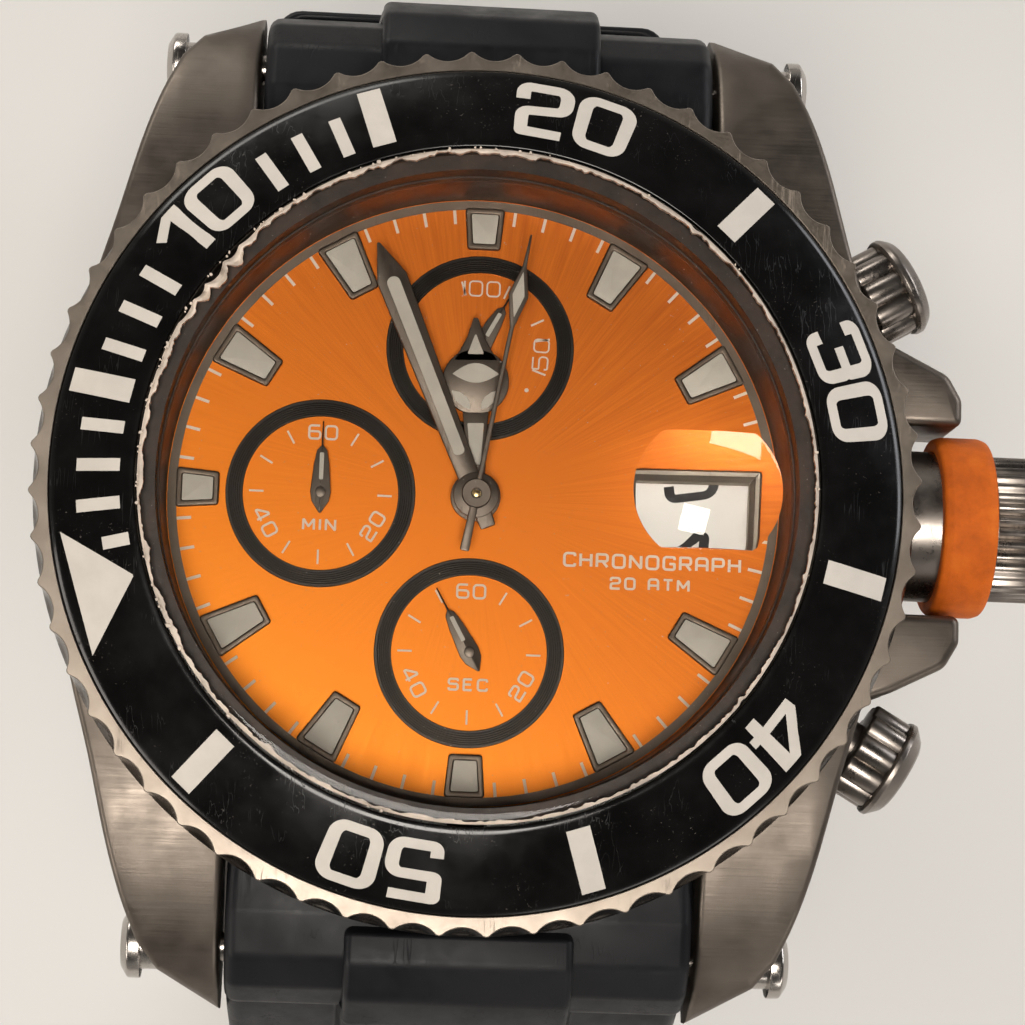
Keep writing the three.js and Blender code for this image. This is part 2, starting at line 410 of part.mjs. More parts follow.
// frame of reference at length s: matrix whose axes are X, along the strap, outward normal
function at(P, s, side) {
  const c = station(P, s);
  const t = new THREE.Vector3(0, side * Math.cos(c.h), -Math.sin(c.h));
  const n = new THREE.Vector3(0, side * Math.sin(c.h), Math.cos(c.h));
  const x = new THREE.Vector3().crossVectors(t, n);
  return new THREE.Matrix4().makeBasis(x, t, n).setPosition(0, side * (LUG_Y + c.y), STEM_Z + c.z);
}
const placed = (geo, M) => { const g = geo.clone(); g.applyMatrix4(M); return g; };

// Buckle half at 12 o'clock.
{
  const st = [0.6, 4, 8, 13, 18, 24, 30, 36, 42, 46, 49.5, 52.5, 55.5, 58.5, 61.5, 64.5, 67.5, 70.2, 72.0];
  let s = toM(sweep(P12, st, 1)).add(endBlock(1)).subtract(barHole(1));
  const A = at(P12, PIN_S, 1);
  s = s.subtract(toM(placed(alongX(rod(0.95, -14, 14, 12)), A)));
  s = s.subtract(toM(placed(box(-1.7, 1.7, -2.6, 4, -3, 3), A)));
  // moulded keeper loop, open on its outer side for the tail
  const K = at(P12, 44, 1);
  const loop = toM(box(-13.7, 13.7, -2.6, 2.6, -2.6, 6.1)).subtract(toM(box(-12.3, 12.3, -4, 4, 0.5, 5.1)));
  s = s.add(toM(placed(fromM(loop), K)));
  add('strap_buckle_half', fromM(s), RUBBER);
  // sliding keeper
  const K2 = at(P12, KEEPER_S, 1);
  const loop2 = toM(box(-13.7, 13.7, -2.4, 2.4, -3.3, 6.4)).subtract(toM(box(-12.7, 12.7, -4, 4, -2.5, 5.7)));
  add('sliding_keeper', placed(fromM(loop2), K2), RUBBER);
  // buckle frame, cross pin and tongue
  let f = toM(box(-14.2, 14.2, -2.0, 13.0, -1.75, 1.75)).subtract(toM(box(-11.4, 11.4, -4, 9.8, -3, 3)));
  f = f.subtract(toM(box(-15, 15, 9.8, 14, 0.2, 3)));
  f = f.subtract(toM(alongX(rod(0.87, -13.7, 13.7, 12))));
  add('buckle_frame', placed(fromM(f), A), STEEL_POL);
  add('buckle_pin', placed(alongX(rod(0.8, -13.6, 13.6, 12)), A), STEEL);
  let tg = toM(alongX(lathe([[0.9, -1.3], [1.75, -1.3], [1.75, 1.3], [0.9, 1.3]], 12, true))).add(toM(prismX([[1.2, -0.5], [3.0, 0.35], [12.9, 0.35], [12.9, 1.0], [10, 1.7], [3.0, 1.7], [0.9, 1.3]], -1.2, 1.2)));
  tg = tg.subtract(toM(alongX(rod(0.9, -2, 2, 12))));
  add('buckle_tongue', placed(fromM(tg), A), STEEL_POL);
}
// Hole half at 6 o'clock.
{
  const st = [0.6, 4, 8, 13, 18, 24, 30, 36, 42, 47.6, 51, 54.5, 58, 61.5, 65, 68.5, 71.9, 78, 85, 89, 91, TAIL_END];
  let s = toM(sweep(P6, st, -1, { 89: 0.93, 91: 0.8, [TAIL_END]: 0.62 })).add(endBlock(-1)).subtract(barHole(-1));
  for (const h of [52, 58, 64, 70, 76, 82]) s = s.subtract(toM(placed(box(-1.7, 1.7, -1.1, 1.1, -5, 5), at(P6, h, -1))));
  add('strap_hole_half', fromM(s), RUBBER);
}

export default watch;
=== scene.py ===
# Looks for the dive watch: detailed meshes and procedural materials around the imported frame.
import bpy
import bmesh
import math
import random
from mathutils import Matrix, Vector, noise

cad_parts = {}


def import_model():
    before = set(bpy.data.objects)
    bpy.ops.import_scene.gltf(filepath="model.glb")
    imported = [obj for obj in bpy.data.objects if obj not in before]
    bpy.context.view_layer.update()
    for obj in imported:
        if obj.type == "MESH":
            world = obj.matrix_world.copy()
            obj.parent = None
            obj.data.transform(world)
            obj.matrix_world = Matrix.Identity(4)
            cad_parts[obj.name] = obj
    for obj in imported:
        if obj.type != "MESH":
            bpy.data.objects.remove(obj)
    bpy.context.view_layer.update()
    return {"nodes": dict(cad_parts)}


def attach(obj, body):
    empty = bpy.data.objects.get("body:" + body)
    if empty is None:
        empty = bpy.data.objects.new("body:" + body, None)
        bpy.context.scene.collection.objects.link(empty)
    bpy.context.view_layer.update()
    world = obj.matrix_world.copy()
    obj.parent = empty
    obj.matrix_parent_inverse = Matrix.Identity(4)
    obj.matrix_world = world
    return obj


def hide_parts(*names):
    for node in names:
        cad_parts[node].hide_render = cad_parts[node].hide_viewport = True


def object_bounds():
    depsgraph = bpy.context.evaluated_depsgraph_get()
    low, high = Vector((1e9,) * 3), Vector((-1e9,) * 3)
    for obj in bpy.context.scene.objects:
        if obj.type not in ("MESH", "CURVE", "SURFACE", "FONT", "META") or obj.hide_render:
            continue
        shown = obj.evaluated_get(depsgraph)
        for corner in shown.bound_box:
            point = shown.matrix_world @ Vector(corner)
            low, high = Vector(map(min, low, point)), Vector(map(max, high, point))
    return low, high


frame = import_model()
MM = 0.001
PI = math.pi
rad = math.radians
sc = bpy.context.scene
sc.view_settings.view_transform = "Standard"
rng = random.Random(7)

# ------------------------------------------------------------------ sizes (mm)
DIAL = 8.30
BZ = 13.90            # outer edge of the bezel insert
BEZ_A = -107.7        # bezel's zero mark, degrees clockwise from 12
SUBS = {"12": (0.0, 8.55), "6": (0.0, -8.55), "9": (-8.55, 0.0)}
STEM_Z = 4.9
LUG_Y = 25.0


# ------------------------------------------------------------------ mesh helpers
def finish_mesh(me, smooth=35.0):
    me.validate()
    if smooth:
        me.shade_smooth()
        me.set_sharp_from_angle(angle=rad(smooth))
    else:
        me.shade_flat()


def obj(name, verts, faces, mat, body="case", smooth=35.0, replaces=(), fix=True, mats=None, midx=None):
    me = bpy.data.meshes.new(name)
    me.from_pydata([(x * MM, y * MM, z * MM) for x, y, z in verts], [], faces)
    if fix:
        bm = bmesh.new()
        bm.from_mesh(me)
        bmesh.ops.remove_doubles(bm, verts=bm.verts, dist=2e-7)
        bmesh.ops.recalc_face_normals(bm, faces=bm.faces)
        bm.to_mesh(me)
        bm.free()
    finish_mesh(me, smooth)
    o = bpy.data.objects.new(name, me)
    sc.collection.objects.link(o)
    for m in (mats or [mat]):
        me.materials.append(m)
    if body:
        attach(o, body)
    if replaces:
        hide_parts(*replaces)
    return o


def fillet(pts, r, n=4, closed=True):
    """Rounds the corners of a 2-D outline; r is one radius or one per corner."""
    out = []
    m = len(pts)
    rs = r if isinstance(r, (list, tuple)) else [r] * m
    for i in range(m):
        p = Vector(pts[i][:2])
        if (not closed and i in (0, m - 1)) or rs[i] <= 0:
            out.append((p.x, p.y))
            continue
        a, b = Vector(pts[(i - 1) % m][:2]) - p, Vector(pts[(i + 1) % m][:2]) - p
        la, lb = a.length, b.length
        if la < 1e-9 or lb < 1e-9:
            out.append((p.x, p.y))
            continue
        a.normalize(); b.normalize()
        c = max(-1, min(1, a.dot(b)))
        ang = math.acos(c)
        if ang > PI - 0.02:
            out.append((p.x, p.y))
            continue
        d = min(rs[i] / math.tan(ang / 2), la * 0.49, lb * 0.49)
        rr = d * math.tan(ang / 2)
        bis = (a + b).normalized()
        cen = p + bis * (rr / math.sin(ang / 2))
        s, e = p + a * d - cen, p + b * d - cen
        a0 = math.atan2(s.y, s.x)
        da = math.atan2(e.y, e.x) - a0
        while da > PI: da -= 2 * PI
        while da < -PI: da += 2 * PI
        for k in range(n + 1):
            t = a0 + da * k / n
            out.append((cen.x + rr * math.cos(t), cen.y + rr * math.sin(t)))
    return out


def lathe_data(prof, seg, closed=True):
    v, f = [], []
    m = len(prof)
    for i in range(seg):
        a = 2 * PI * i / seg
        for r, z in prof:
            v.append((r * math.cos(a), r * math.sin(a), z))
    for i in range(seg):
        j = (i + 1) % seg
        for k in range(m if closed else m - 1):
            l = (k + 1) % m
            f.append((i * m + k, j * m + k, j * m + l, i * m + l))
    return v, f


def lathe(name, prof, mat, seg=128, closed=True, r=0.0, n=3, M=None, **kw):
    """Ring or solid of revolution from (radius, z); a profile that starts and ends on the axis is a solid."""
    p = fillet(prof, r, n, closed) if r else list(prof)
    v, f = lathe_data(p, seg, closed)
    if M:
        v = [tuple(M @ Vector(q)) for q in v]
    return obj(name, v, f, mat, **kw)


def prism_data(pts, z0, z1):
    n = len(pts)
    v = [(x, y, z0) for x, y in pts] + [(x, y, z1) for x, y in pts]
    f = [tuple(range(n - 1, -1, -1)), tuple(range(n, 2 * n))]
    f += [(i, (i + 1) % n, n + (i + 1) % n, n + i) for i in range(n)]
    return v, f


def apply_mods(o):
    dg = bpy.context.evaluated_depsgraph_get()
    me = bpy.data.meshes.new_from_object(o.evaluated_get(dg), preserve_all_data_layers=True, depsgraph=dg)
    old = o.data
    o.modifiers.clear()
    o.data = me
    bpy.data.meshes.remove(old)
    return o


def bevel(o, w, seg=3, angle=30.0, smooth=35.0, harden=False):
    m = o.modifiers.new("b", "BEVEL")
    m.width = w * MM
    m.segments = seg
    m.limit_method = "ANGLE"
    m.angle_limit = rad(angle)
    m.use_clamp_overlap = True
    m.miter_outer = "MITER_ARC"
    apply_mods(o)
    o.data.shade_smooth()
    o.data.set_sharp_from_angle(angle=rad(smooth))
    return o


def temp(name, verts, faces):
    me = bpy.data.meshes.new(name)
    me.from_pydata([(x * MM, y * MM, z * MM) for x, y, z in verts], [], faces)
    bm = bmesh.new(); bm.from_mesh(me)
    bmesh.ops.remove_doubles(bm, verts=bm.verts, dist=2e-7)
    bmesh.ops.recalc_face_normals(bm, faces=bm.faces)
    bm.to_mesh(me); bm.free()
    o = bpy.data.objects.new(name, me)
    sc.collection.objects.link(o)
    return o


def boolean(o, others, op="DIFFERENCE"):
    for t in others:
        m = o.modifiers.new("c", "BOOLEAN")
        m.operation = op
        m.solver = "EXACT"
        m.object = t
        apply_mods(o)
        bpy.data.objects.remove(t, do_unlink=True)
    return o


def moved(vf, M):
    return [tuple(M @ Vector(q)) for q in vf[0]], vf[1]


def box_data(x0, x1, y0, y1, z0, z1):
    return prism_data([(x0, y0), (x1, y0), (x1, y1), (x0, y1)], z0, z1)


def cyl_data(r, z0, z1, seg=48, x=0, y=0):
    return prism_data([(x + r * math.cos(2 * PI * i / seg), y + r * math.sin(2 * PI * i / seg)) for i in range(seg)], z0, z1)


ALONG_X = Matrix(((0, 0, 1, 0), (0, 1, 0, 0), (-1, 0, 0, 0), (0, 0, 0, 1)))
CROWN_M = Matrix.Translation((0, 0, STEM_Z)) @ ALONG_X


def clockpos(a, r):
    return r * math.sin(rad(a)), r * math.cos(rad(a))


# ------------------------------------------------------------------ stroke glyphs
# Each glyph: width, list of (points in a unit-height box, closed, corner radius).
GLYPHS = {
    "0": (0.86, [([(0, 0), (0.86, 0), (0.86, 1), (0, 1)], True, 0.25)]),
    "1": (0.0, [([(0.0, 1.0), (0.0, 0)], False, 0.0)]),
    "2": (0.84, [([(0, 0.72), (0, 1), (0.84, 1), (0.84, 0.53), (0, 0.45), (0, 0), (0.84, 0)], False, [0, 0.22, 0.22, 0.2, 0.16, 0.02, 0])]),
    "3": (0.84, [([(0, 0.76), (0, 1), (0.84, 1), (0.84, 0.53), (0.74, 0.53)], False, [0, 0.22, 0.22, 0.1, 0]),
                 ([(0.3, 0.53), (0.84, 0.53), (0.84, 0), (0, 0), (0, 0.24)], False, [0, 0.14, 0.22, 0.22, 0])]),
    "4": (0.9, [([(0.68, 0), (0.68, 1), (0.55, 1), (0, 0.36), (0, 0.24), (0.9, 0.24)], False, [0, 0.05, 0.05, 0.05, 0.03, 0])]),
    "5": (0.84, [([(0.8, 1), (0, 1), (0, 0.58), (0.84, 0.58), (0.84, 0), (0, 0), (0, 0.22)], False, [0, 0.04, 0.06, 0.22, 0.22, 0.2, 0])]),
    "6": (0.84, [([(0.8, 1), (0, 1), (0, 0), (0.84, 0), (0.84, 0.56), (0.08, 0.56)], False, [0, 0.22, 0.22, 0.22, 0.2, 0])]),
    "7": (0.8, [([(0, 1), (0.8, 1), (0.8, 0.8), (0.3, 0)], False, [0, 0.08, 0.12, 0])]),
    "8": (0.84, [([(0, 0), (0.84, 0), (0.84, 0.53), (0, 0.53)], True, 0.18), ([(0.03, 0.53), (0.03, 1), (0.81, 1), (0.81, 0.53)], False, [0, 0.18, 0.18, 0])]),
    "9": (0.84, [([(0.04, 0), (0.84, 0), (0.84, 1), (0, 1), (0, 0.44), (0.76, 0.44)], False, [0, 0.22, 0.22, 0.22, 0.2, 0])]),
    "M": (1.0, [([(0, 0), (0, 1), (0.5, 0.3), (1.0, 1), (1.0, 0)], False, [0, 0.03, 0.03, 0.03, 0])]),
    "I": (0.0, [([(0, 0), (0, 1)], False, 0)]),
    "N": (0.86, [([(0, 0), (0, 1), (0.86, 0), (0.86, 1)], False, [0, 0.03, 0.03, 0])]),
    "S": (0.84, [([(0.84, 0.8), (0.84, 1), (0, 1), (0, 0.53), (0.84, 0.53), (0.84, 0), (0, 0), (0, 0.2)], False, [0, 0.2, 0.2, 0.16, 0.16, 0.2, 0.2, 0])]),
    "E": (0.76, [([(0.76, 1), (0, 1), (0, 0), (0.76, 0)], False, [0, 0.06, 0.06, 0]), ([(0.1, 0.52), (0.68, 0.52)], False, 0)]),
    "C": (0.84, [([(0.84, 0.78), (0.84, 1), (0, 1), (0, 0), (0.84, 0), (0.84, 0.22)], False, [0, 0.2, 0.24, 0.24, 0.2, 0])]),
    "H": (0.84, [([(0, 0), (0, 1)], False, 0), ([(0.84, 0), (0.84, 1)], False, 0), ([(0.08, 0.52), (0.76, 0.52)], False, 0)]),
    "R": (0.84, [([(0, 0), (0, 1), (0.84, 1), (0.84, 0.45), (0.08, 0.45)], False, [0, 0.05, 0.2, 0.18, 0]), ([(0.5, 0.4), (0.84, 0)], False, 0)]),
    "O": (0.9, [([(0, 0), (0.9, 0), (0.9, 1), (0, 1)], True, 0.25)]),
    "G": (0.86, [([(0.86, 0.78), (0.86, 1), (0, 1), (0, 0), (0.86, 0), (0.86, 0.46), (0.45, 0.46)], False, [0, 0.2, 0.24, 0.24, 0.16, 0.04, 0])]),
    "A": (0.86, [([(0, 0), (0, 1), (0.86, 1), (0.86, 0)], False, [0, 0.24, 0.24, 0]), ([(0.08, 0.42), (0.78, 0.42)], False, 0)]),
    "P": (0.84, [([(0, 0), (0, 1), (0.84, 1), (0.84, 0.42), (0.08, 0.42)], False, [0, 0.05, 0.2, 0.18, 0])]),
    "T": (0.84, [([(0, 1), (0.84, 1)], False, 0), ([(0.42, 0), (0.42, 0.92)], False, 0)]),
}


def ribbon(pts, w, closed):
    """Left and right offsets of a centre line."""
    n = len(pts)
    P = [Vector(p) for p in pts]
    L, R = [], []
    for i in range(n):
        if closed:
            a, b = P[(i - 1) % n], P[(i + 1) % n]
            d1, d2 = (P[i] - a), (b - P[i])
        else:
            d1 = P[i] - P[i - 1] if i else P[1] - P[0]
            d2 = P[i + 1] - P[i] if i < n - 1 else P[-1] - P[-2]
        d1.normalize(); d2.normalize()
        t = (d1 + d2)
        t = t.normalized() if t.length > 1e-6 else d1
        nn = Vector((-t.y, t.x))
        c = max(0.35, nn.dot(Vector((-d1.y, d1.x))))
        L.append(P[i] + nn * (w / 2 / c)); R.append(P[i] - nn * (w / 2 / c))
    return L, R


def strip_solids(strips, place, thick):
    """Each strip is (left points, right points, closed); place(x, y, h) gives the 3-D point."""
    V, F = [], []
    for L, R, closed in strips:
        n = len(L)
        b = len(V)
        for p, q in zip(L, R):
            V += [place(p[0], p[1], 0), place(q[0], q[1], 0), place(p[0], p[1], thick), place(q[0], q[1], thick)]
        for i in range(n if closed else n - 1):
            j = (i + 1) % n
            a, c = b + 4 * i, b + 4 * j
            F += [(a + 2, c + 2, c + 3, a + 3), (a, a + 1, c + 1, c), (a, c, c + 2, a + 2), (a + 1, a + 3, c + 3, c + 1)]
        if not closed:
            e = b + 4 * (n - 1)
            F += [(b, b + 2, b + 3, b + 1), (e, e + 1, e + 3, e + 2)]
    return V, F


# Outlined figures: width over height, polygons in a unit box.
SHAPED = {
    "1": (0.66, [[(0.64, 0.03), (0.995, 0.03), (0.995, 1.0), (0.64, 1.0)], [(0.0, 0.775), (0.15, 0.635), (0.70, 0.86), (0.80, 1.0), (0.56, 1.0)]]),
    "4": (0.985, [[(0.0, 0.215), (1.0, 0.215), (1.0, 0.37), (0.0, 0.37)], [(0.64, 0.0), (0.875, 0.0), (0.90, 1.0), (0.65, 1.0)],
                  [(0.0, 0.30), (0.19, 0.355), (0.68, 0.87), (0.70, 1.0), (0.545, 1.0), (0.0, 0.42)]]),
}


def flat_shape(polys, step):
    """Union of the polygons as triangles: points, triangles."""
    from mathutils.geometry import delaunay_2d_cdt
    pts, faces = [], []
    for p in polys:
        a2 = sum(p[i][0] * p[(i + 1) % len(p)][1] - p[(i + 1) % len(p)][0] * p[i][1] for i in range(len(p)))
        q = p if a2 > 0 else list(reversed(p))
        faces.append(list(range(len(pts), len(pts) + len(q))))
        pts += q
    x0, x1 = min(p[0] for p in pts), max(p[0] for p in pts)
    y0, y1 = min(p[1] for p in pts), max(p[1] for p in pts)
    if step:
        for i in range(1, int((x1 - x0) / step) + 1):
            for j in range(1, int((y1 - y0) / step) + 1):
                pts.append((x0 + i * step + 0.0013 * (j % 3), y0 + j * step + 0.0017 * (i % 3)))
    r = delaunay_2d_cdt([Vector(p) for p in pts], [], faces, 0, 1e-5)
    vs, fs, of_ = r[0], r[2], r[5]
    return [(v.x, v.y) for v in vs], [tuple(t) for t, o in zip(fs, of_) if len(o)]


def solid_shape(shape, place, thick):
    pts, tris = shape
    used = sorted({i for t in tris for i in t})
    ix = {k: n for n, k in enumerate(used)}
    m = len(used)
    V = [place(pts[k][0], pts[k][1], 0) for k in used] + [place(pts[k][0], pts[k][1], thick) for k in used]
    F, E = [], {}
    for t in tris:
        t = [ix[k] for k in t]
        a2 = sum(pts[used[t[i]]][0] * pts[used[t[(i + 1) % len(t)]]][1] - pts[used[t[(i + 1) % len(t)]]][0] * pts[used[t[i]]][1] for i in range(len(t)))
        if a2 < 0:
            t = t[::-1]
        F.append(tuple(m + k for k in t))
        F.append(tuple(reversed(t)))
        for i in range(len(t)):
            E[(t[i], t[(i + 1) % len(t)])] = 1
    for a, b in E:
        if (b, a) not in E:
            F.append((a, b, m + b, m + a))
    return V, F


def numerals(text, h, sh, sv, gap, place, thick, wide=1.0, step=0.0, round_=1.0, heavy=False):
    """Figures with heavy upright strokes (sv) and lighter level ones (sh), standing centred on the point."""
    hh = h - sh
    k = sv / sh
    cells, x = [], 0.0
    for c in text:
        if c == " ":
            x += 0.45 * h + gap
            continue
        if c in SHAPED and heavy:
            w, polys = SHAPED[c]
            cells.append((x, [[(px * w * h + x, py * h - h / 2) for px, py in p] for p in polys]))
            x += w * h + gap
            continue
        w, paths = GLYPHS[c]
        ps = []
        for pts, closed, r in paths:
            q = [(px * wide * hh, py * hh) for px, py in pts]
            rr = [v_ * hh * round_ for v_ in r] if isinstance(r, list) else r * hh * round_
            q = fillet(q, rr, 6, closed) if (isinstance(rr, list) or rr > 0) else q
            q = [(a / k, b) for a, b in q]
            m = len(q)
            for i in range(m if closed else m - 1):
                a, b = Vector(q[i]), Vector(q[(i + 1) % m])
                if (b - a).length < 1e-6:
                    continue
                d = (b - a).normalized()
                nn = Vector((-d.y, d.x)) * sh / 2
                ext = Vector((0, 0))
                ps.append([tuple(a - nn), tuple(b - nn), tuple(b + nn), tuple(a + nn)])
            for i in range(m):
                if not closed and i in (0, m - 1):
                    continue
                a, p, b = Vector(q[i - 1]), Vector(q[i]), Vector(q[(i + 1) % m])
                sharp = (p - a).length > 1e-6 and (b - p).length > 1e-6 and (p - a).normalized().dot((b - p).normalized()) < 0.3
                if sharp:
                    ps.append([(p.x - sh / 2, p.y - sh / 2), (p.x + sh / 2, p.y - sh / 2), (p.x + sh / 2, p.y + sh / 2), (p.x - sh / 2, p.y + sh / 2)])
                else:
                    ps.append([(p.x + sh / 2 * math.cos(2 * PI * j / 16 + 0.1), p.y + sh / 2 * math.sin(2 * PI * j / 16 + 0.1)) for j in range(16)])
        cells.append((x, [[(px * k + x + sv / 2, py - hh / 2) for px, py in p] for p in ps]))
        x += w * wide * hh + sv + gap
    mid = (x - gap) / 2
    parts = []
    for _, polys in cells:
        parts.append(solid_shape(flat_shape([[(px - mid, py) for px, py in p] for p in polys], step), place, thick))
    V, F = [], []
    for v, f in parts:
        b = len(V)
        V += v
        F += [tuple(i + b for i in q) for q in f]
    return V, F


# ------------------------------------------------------------------ materials
def new_mat(name):
    m = bpy.data.materials.new(name)
    m.use_nodes = True
    nt = m.node_tree
    b = nt.nodes["Principled BSDF"]
    return m, nt, b


def N(nt, kind, **kw):
    n = nt.nodes.new(kind)
    for k, v in kw.items():
        if k == "inputs":
            for a, b in v.items():
                n.inputs[a].default_value = b
        else:
            setattr(n, k, v)
    return n


def coords(nt, scale=(1000, 1000, 1000), rot=(0, 0, 0)):
    tc = N(nt, "ShaderNodeTexCoord")
    mp = N(nt, "ShaderNodeMapping")
    mp.inputs["Scale"].default_value = scale
    mp.inputs["Rotation"].default_value = rot
    nt.links.new(tc.outputs["Object"], mp.inputs["Vector"])
    return mp.outputs["Vector"]


def noise_tex(nt, vec, scale, detail=4, rough=0.55):
    n = N(nt, "ShaderNodeTexNoise", inputs={"Scale": scale, "Detail": detail, "Roughness": rough})
    nt.links.new(vec, n.inputs["Vector"])
    return n.outputs["Fac"]


def ramp(nt, fac, stops):
    r = N(nt, "ShaderNodeValToRGB")
    e = r.color_ramp.elements
    while len(e) > 1:
        e.remove(e[-1])
    e[0].position, e[0].color = stops[0][0], stops[0][1]
    for p, c in stops[1:]:
        k = e.new(p); k.color = c
    nt.links.new(fac, r.inputs["Fac"])
    return r.outputs["Color"]


def g(v):
    return (v, v, v, 1)


def remap(nt, fac, a, b, lo=0.0, hi=1.0):
    m = N(nt, "ShaderNodeMapRange")
    m.inputs["From Min"].default_value = lo
    m.inputs["From Max"].default_value = hi
    m.inputs["To Min"].default_value = a
    m.inputs["To Max"].default_value = b
    nt.links.new(fac, m.inputs["Value"])
    return m.outputs["Result"]


def math_node(nt, op, a, b=None):
    m = N(nt, "ShaderNodeMath", operation=op)
    for i, v in enumerate((a, b)):
        if v is None:
            continue
        if isinstance(v, (int, float)):
            m.inputs[i].default_value = v
        else:
            nt.links.new(v, m.inputs[i])
    return m.outputs[0]


def mix_rgb(nt, fac, a, b, mode="MIX"):
    m = N(nt, "ShaderNodeMix", data_type="RGBA", blend_type=mode)
    for i, v in ((0, fac), (6, a), (7, b)):
        if isinstance(v, (int, float)) or isinstance(v, tuple):
            m.inputs[i].default_value = v
        else:
            nt.links.new(v, m.inputs[i])
    return m.outputs[2]


def bump(nt, bsdf, h, strength=0.3, dist=0.00005, normal=None):
    b = N(nt, "ShaderNodeBump")
    b.inputs["Strength"].default_value = strength
    b.inputs["Distance"].default_value = dist
    nt.links.new(h, b.inputs["Height"])
    if normal is not None:
        nt.links.new(normal, b.inputs["Normal"])
    nt.links.new(b.outputs["Normal"], bsdf.inputs["Normal"])
    return b.outputs["Normal"]


def scratches(nt, scale=0.5, density=0.03, rot=0.0):
    """Thin random line marks: stretched noise bands thresholded; 0..1."""
    v = coords(nt, (1000, 1000 * 0.06, 1000), (0, 0, rot))
    n1 = noise_tex(nt, v, scale * 6, 2, 0.4)
    line = ramp(nt, n1, [(0.5 - density, g(0)), (0.5, g(1)), (0.5 + density, g(0))])
    v2 = coords(nt)
    n2 = noise_tex(nt, v2, scale * 0.8, 2)
    mask = ramp(nt, n2, [(0.52, g(0)), (0.62, g(1))])
    return math_node(nt, "MULTIPLY", line, mask)


def metal(name, col, rough=0.3, brush=None, brush_amt=0.12, wear=0.15, bump_s=0.15, tint=None, aniso=0.0):
    m, nt, b = new_mat(name)
    b.inputs["Metallic"].default_value = 1.0
    v = coords(nt)
    cl = noise_tex(nt, v, 0.35, 5, 0.6)
    c2 = tint or tuple(k * 0.78 for k in col)
    colr = mix_rgb(nt, remap(nt, cl, 0, 1, 0.35, 0.7), (*col, 1), (*c2, 1))
    nt.links.new(colr, b.inputs["Base Color"])
    if brush:
        s = {"x": (40, 1500, 1500), "y": (1500, 40, 1500), "z": (1500, 1500, 40)}[brush]
        bv = coords(nt, s)
        bn = noise_tex(nt, bv, 5, 3, 0.7)
        sm = noise_tex(nt, v, 0.5, 3, 0.6)
        r1 = math_node(nt, "ADD", remap(nt, bn, rough - brush_amt, rough + brush_amt), remap(nt, sm, -wear / 2, wear / 2, 0.3, 0.7))
        nt.links.new(r1, b.inputs["Roughness"])
        bump(nt, b, bn, bump_s, 0.00002)
    else:
        fine = noise_tex(nt, v, 6.0, 6, 0.7)
        sm = noise_tex(nt, v, 0.45, 4, 0.6)
        r1 = math_node(nt, "ADD", remap(nt, fine, rough - 0.04, rough + 0.05, 0.3, 0.7), remap(nt, sm, 0, wear, 0.4, 0.7))
        sc_ = scratches(nt, 0.6, 0.025, 0.5)
        r2 = math_node(nt, "ADD", r1, math_node(nt, "MULTIPLY", sc_, 0.25))
        nt.links.new(r2, b.inputs["Roughness"])
        h = math_node(nt, "ADD", math_node(nt, "MULTIPLY", fine, 0.3), math_node(nt, "MULTIPLY", sc_, -0.7))
        bump(nt, b, h, bump_s, 0.00002)
    return m


def plastic(name, col, rough=0.4, grain=6.0, bump_s=0.1, var=0.15, spec=0.5, coat=0.0, dist=0.00003):
    m, nt, b = new_mat(name)
    v = coords(nt)
    n1 = noise_tex(nt, v, 0.5, 4, 0.6)
    c2 = tuple(k * (1 - var) for k in col)
    nt.links.new(mix_rgb(nt, remap(nt, n1, 0, 1, 0.35, 0.65), (*col, 1), (*c2, 1)), b.inputs["Base Color"])
    n2 = noise_tex(nt, v, grain, 5, 0.65)
    nt.links.new(remap(nt, n2, rough - 0.07, rough + 0.08, 0.3, 0.7), b.inputs["Roughness"])
    b.inputs["Specular IOR Level"].default_value = spec
    if coat:
        b.inputs["Coat Weight"].default_value = coat
        b.inputs["Coat Roughness"].default_value = 0.06
    bump(nt, b, n2, bump_s, dist)
    return m


STEEL_BR = metal("steel_brushed", (0.165, 0.14, 0.118), 0.44, "x", 0.10, 0.12, 0.35)
STEEL_BRZ = metal("steel_brushed_back", (0.52, 0.50, 0.47), 0.34, "y", 0.12, 0.12, 0.3)
STEEL_PO = metal("steel_polished", (0.50, 0.465, 0.43), 0.17, None, 0, 0.18, 0.10)
STEEL_BZ = metal("steel_bezel", (0.31, 0.265, 0.22), 0.33, None, 0, 0.08, 0.04, (0.24, 0.20, 0.165))
# brown-tinted steel for the rehaut: the tint is a painted reflection of the orange dial
STEEL_RING = metal("steel_inner_ring_painted_dial_reflection", (0.13, 0.085, 0.068), 0.42, None, 0, 0.10, 0.05)
# dark brown, not metal, for the case neck, the crystal's step and side, and its seal: painted shade in the gap between
# the bezel insert and the crystal
NECK_M = plastic("neck_gap_painted_shade", (0.060, 0.038, 0.026), 0.55, 3.0, 0.5, 0.6)
GROUND = plastic("ground_glass_edge", (0.78, 0.66, 0.55), 0.42, 7, 0.6, 0.40)
# near-black steel for the bezel's scoop walls: painted shade and painted dark reflection inside the scoops, much
# darker than the rim
SCOOP_PAINTED_SHADE = metal("steel_scoop_painted_shade", (0.085, 0.07, 0.058), 0.2, None, 0, 0.12, 0.05)
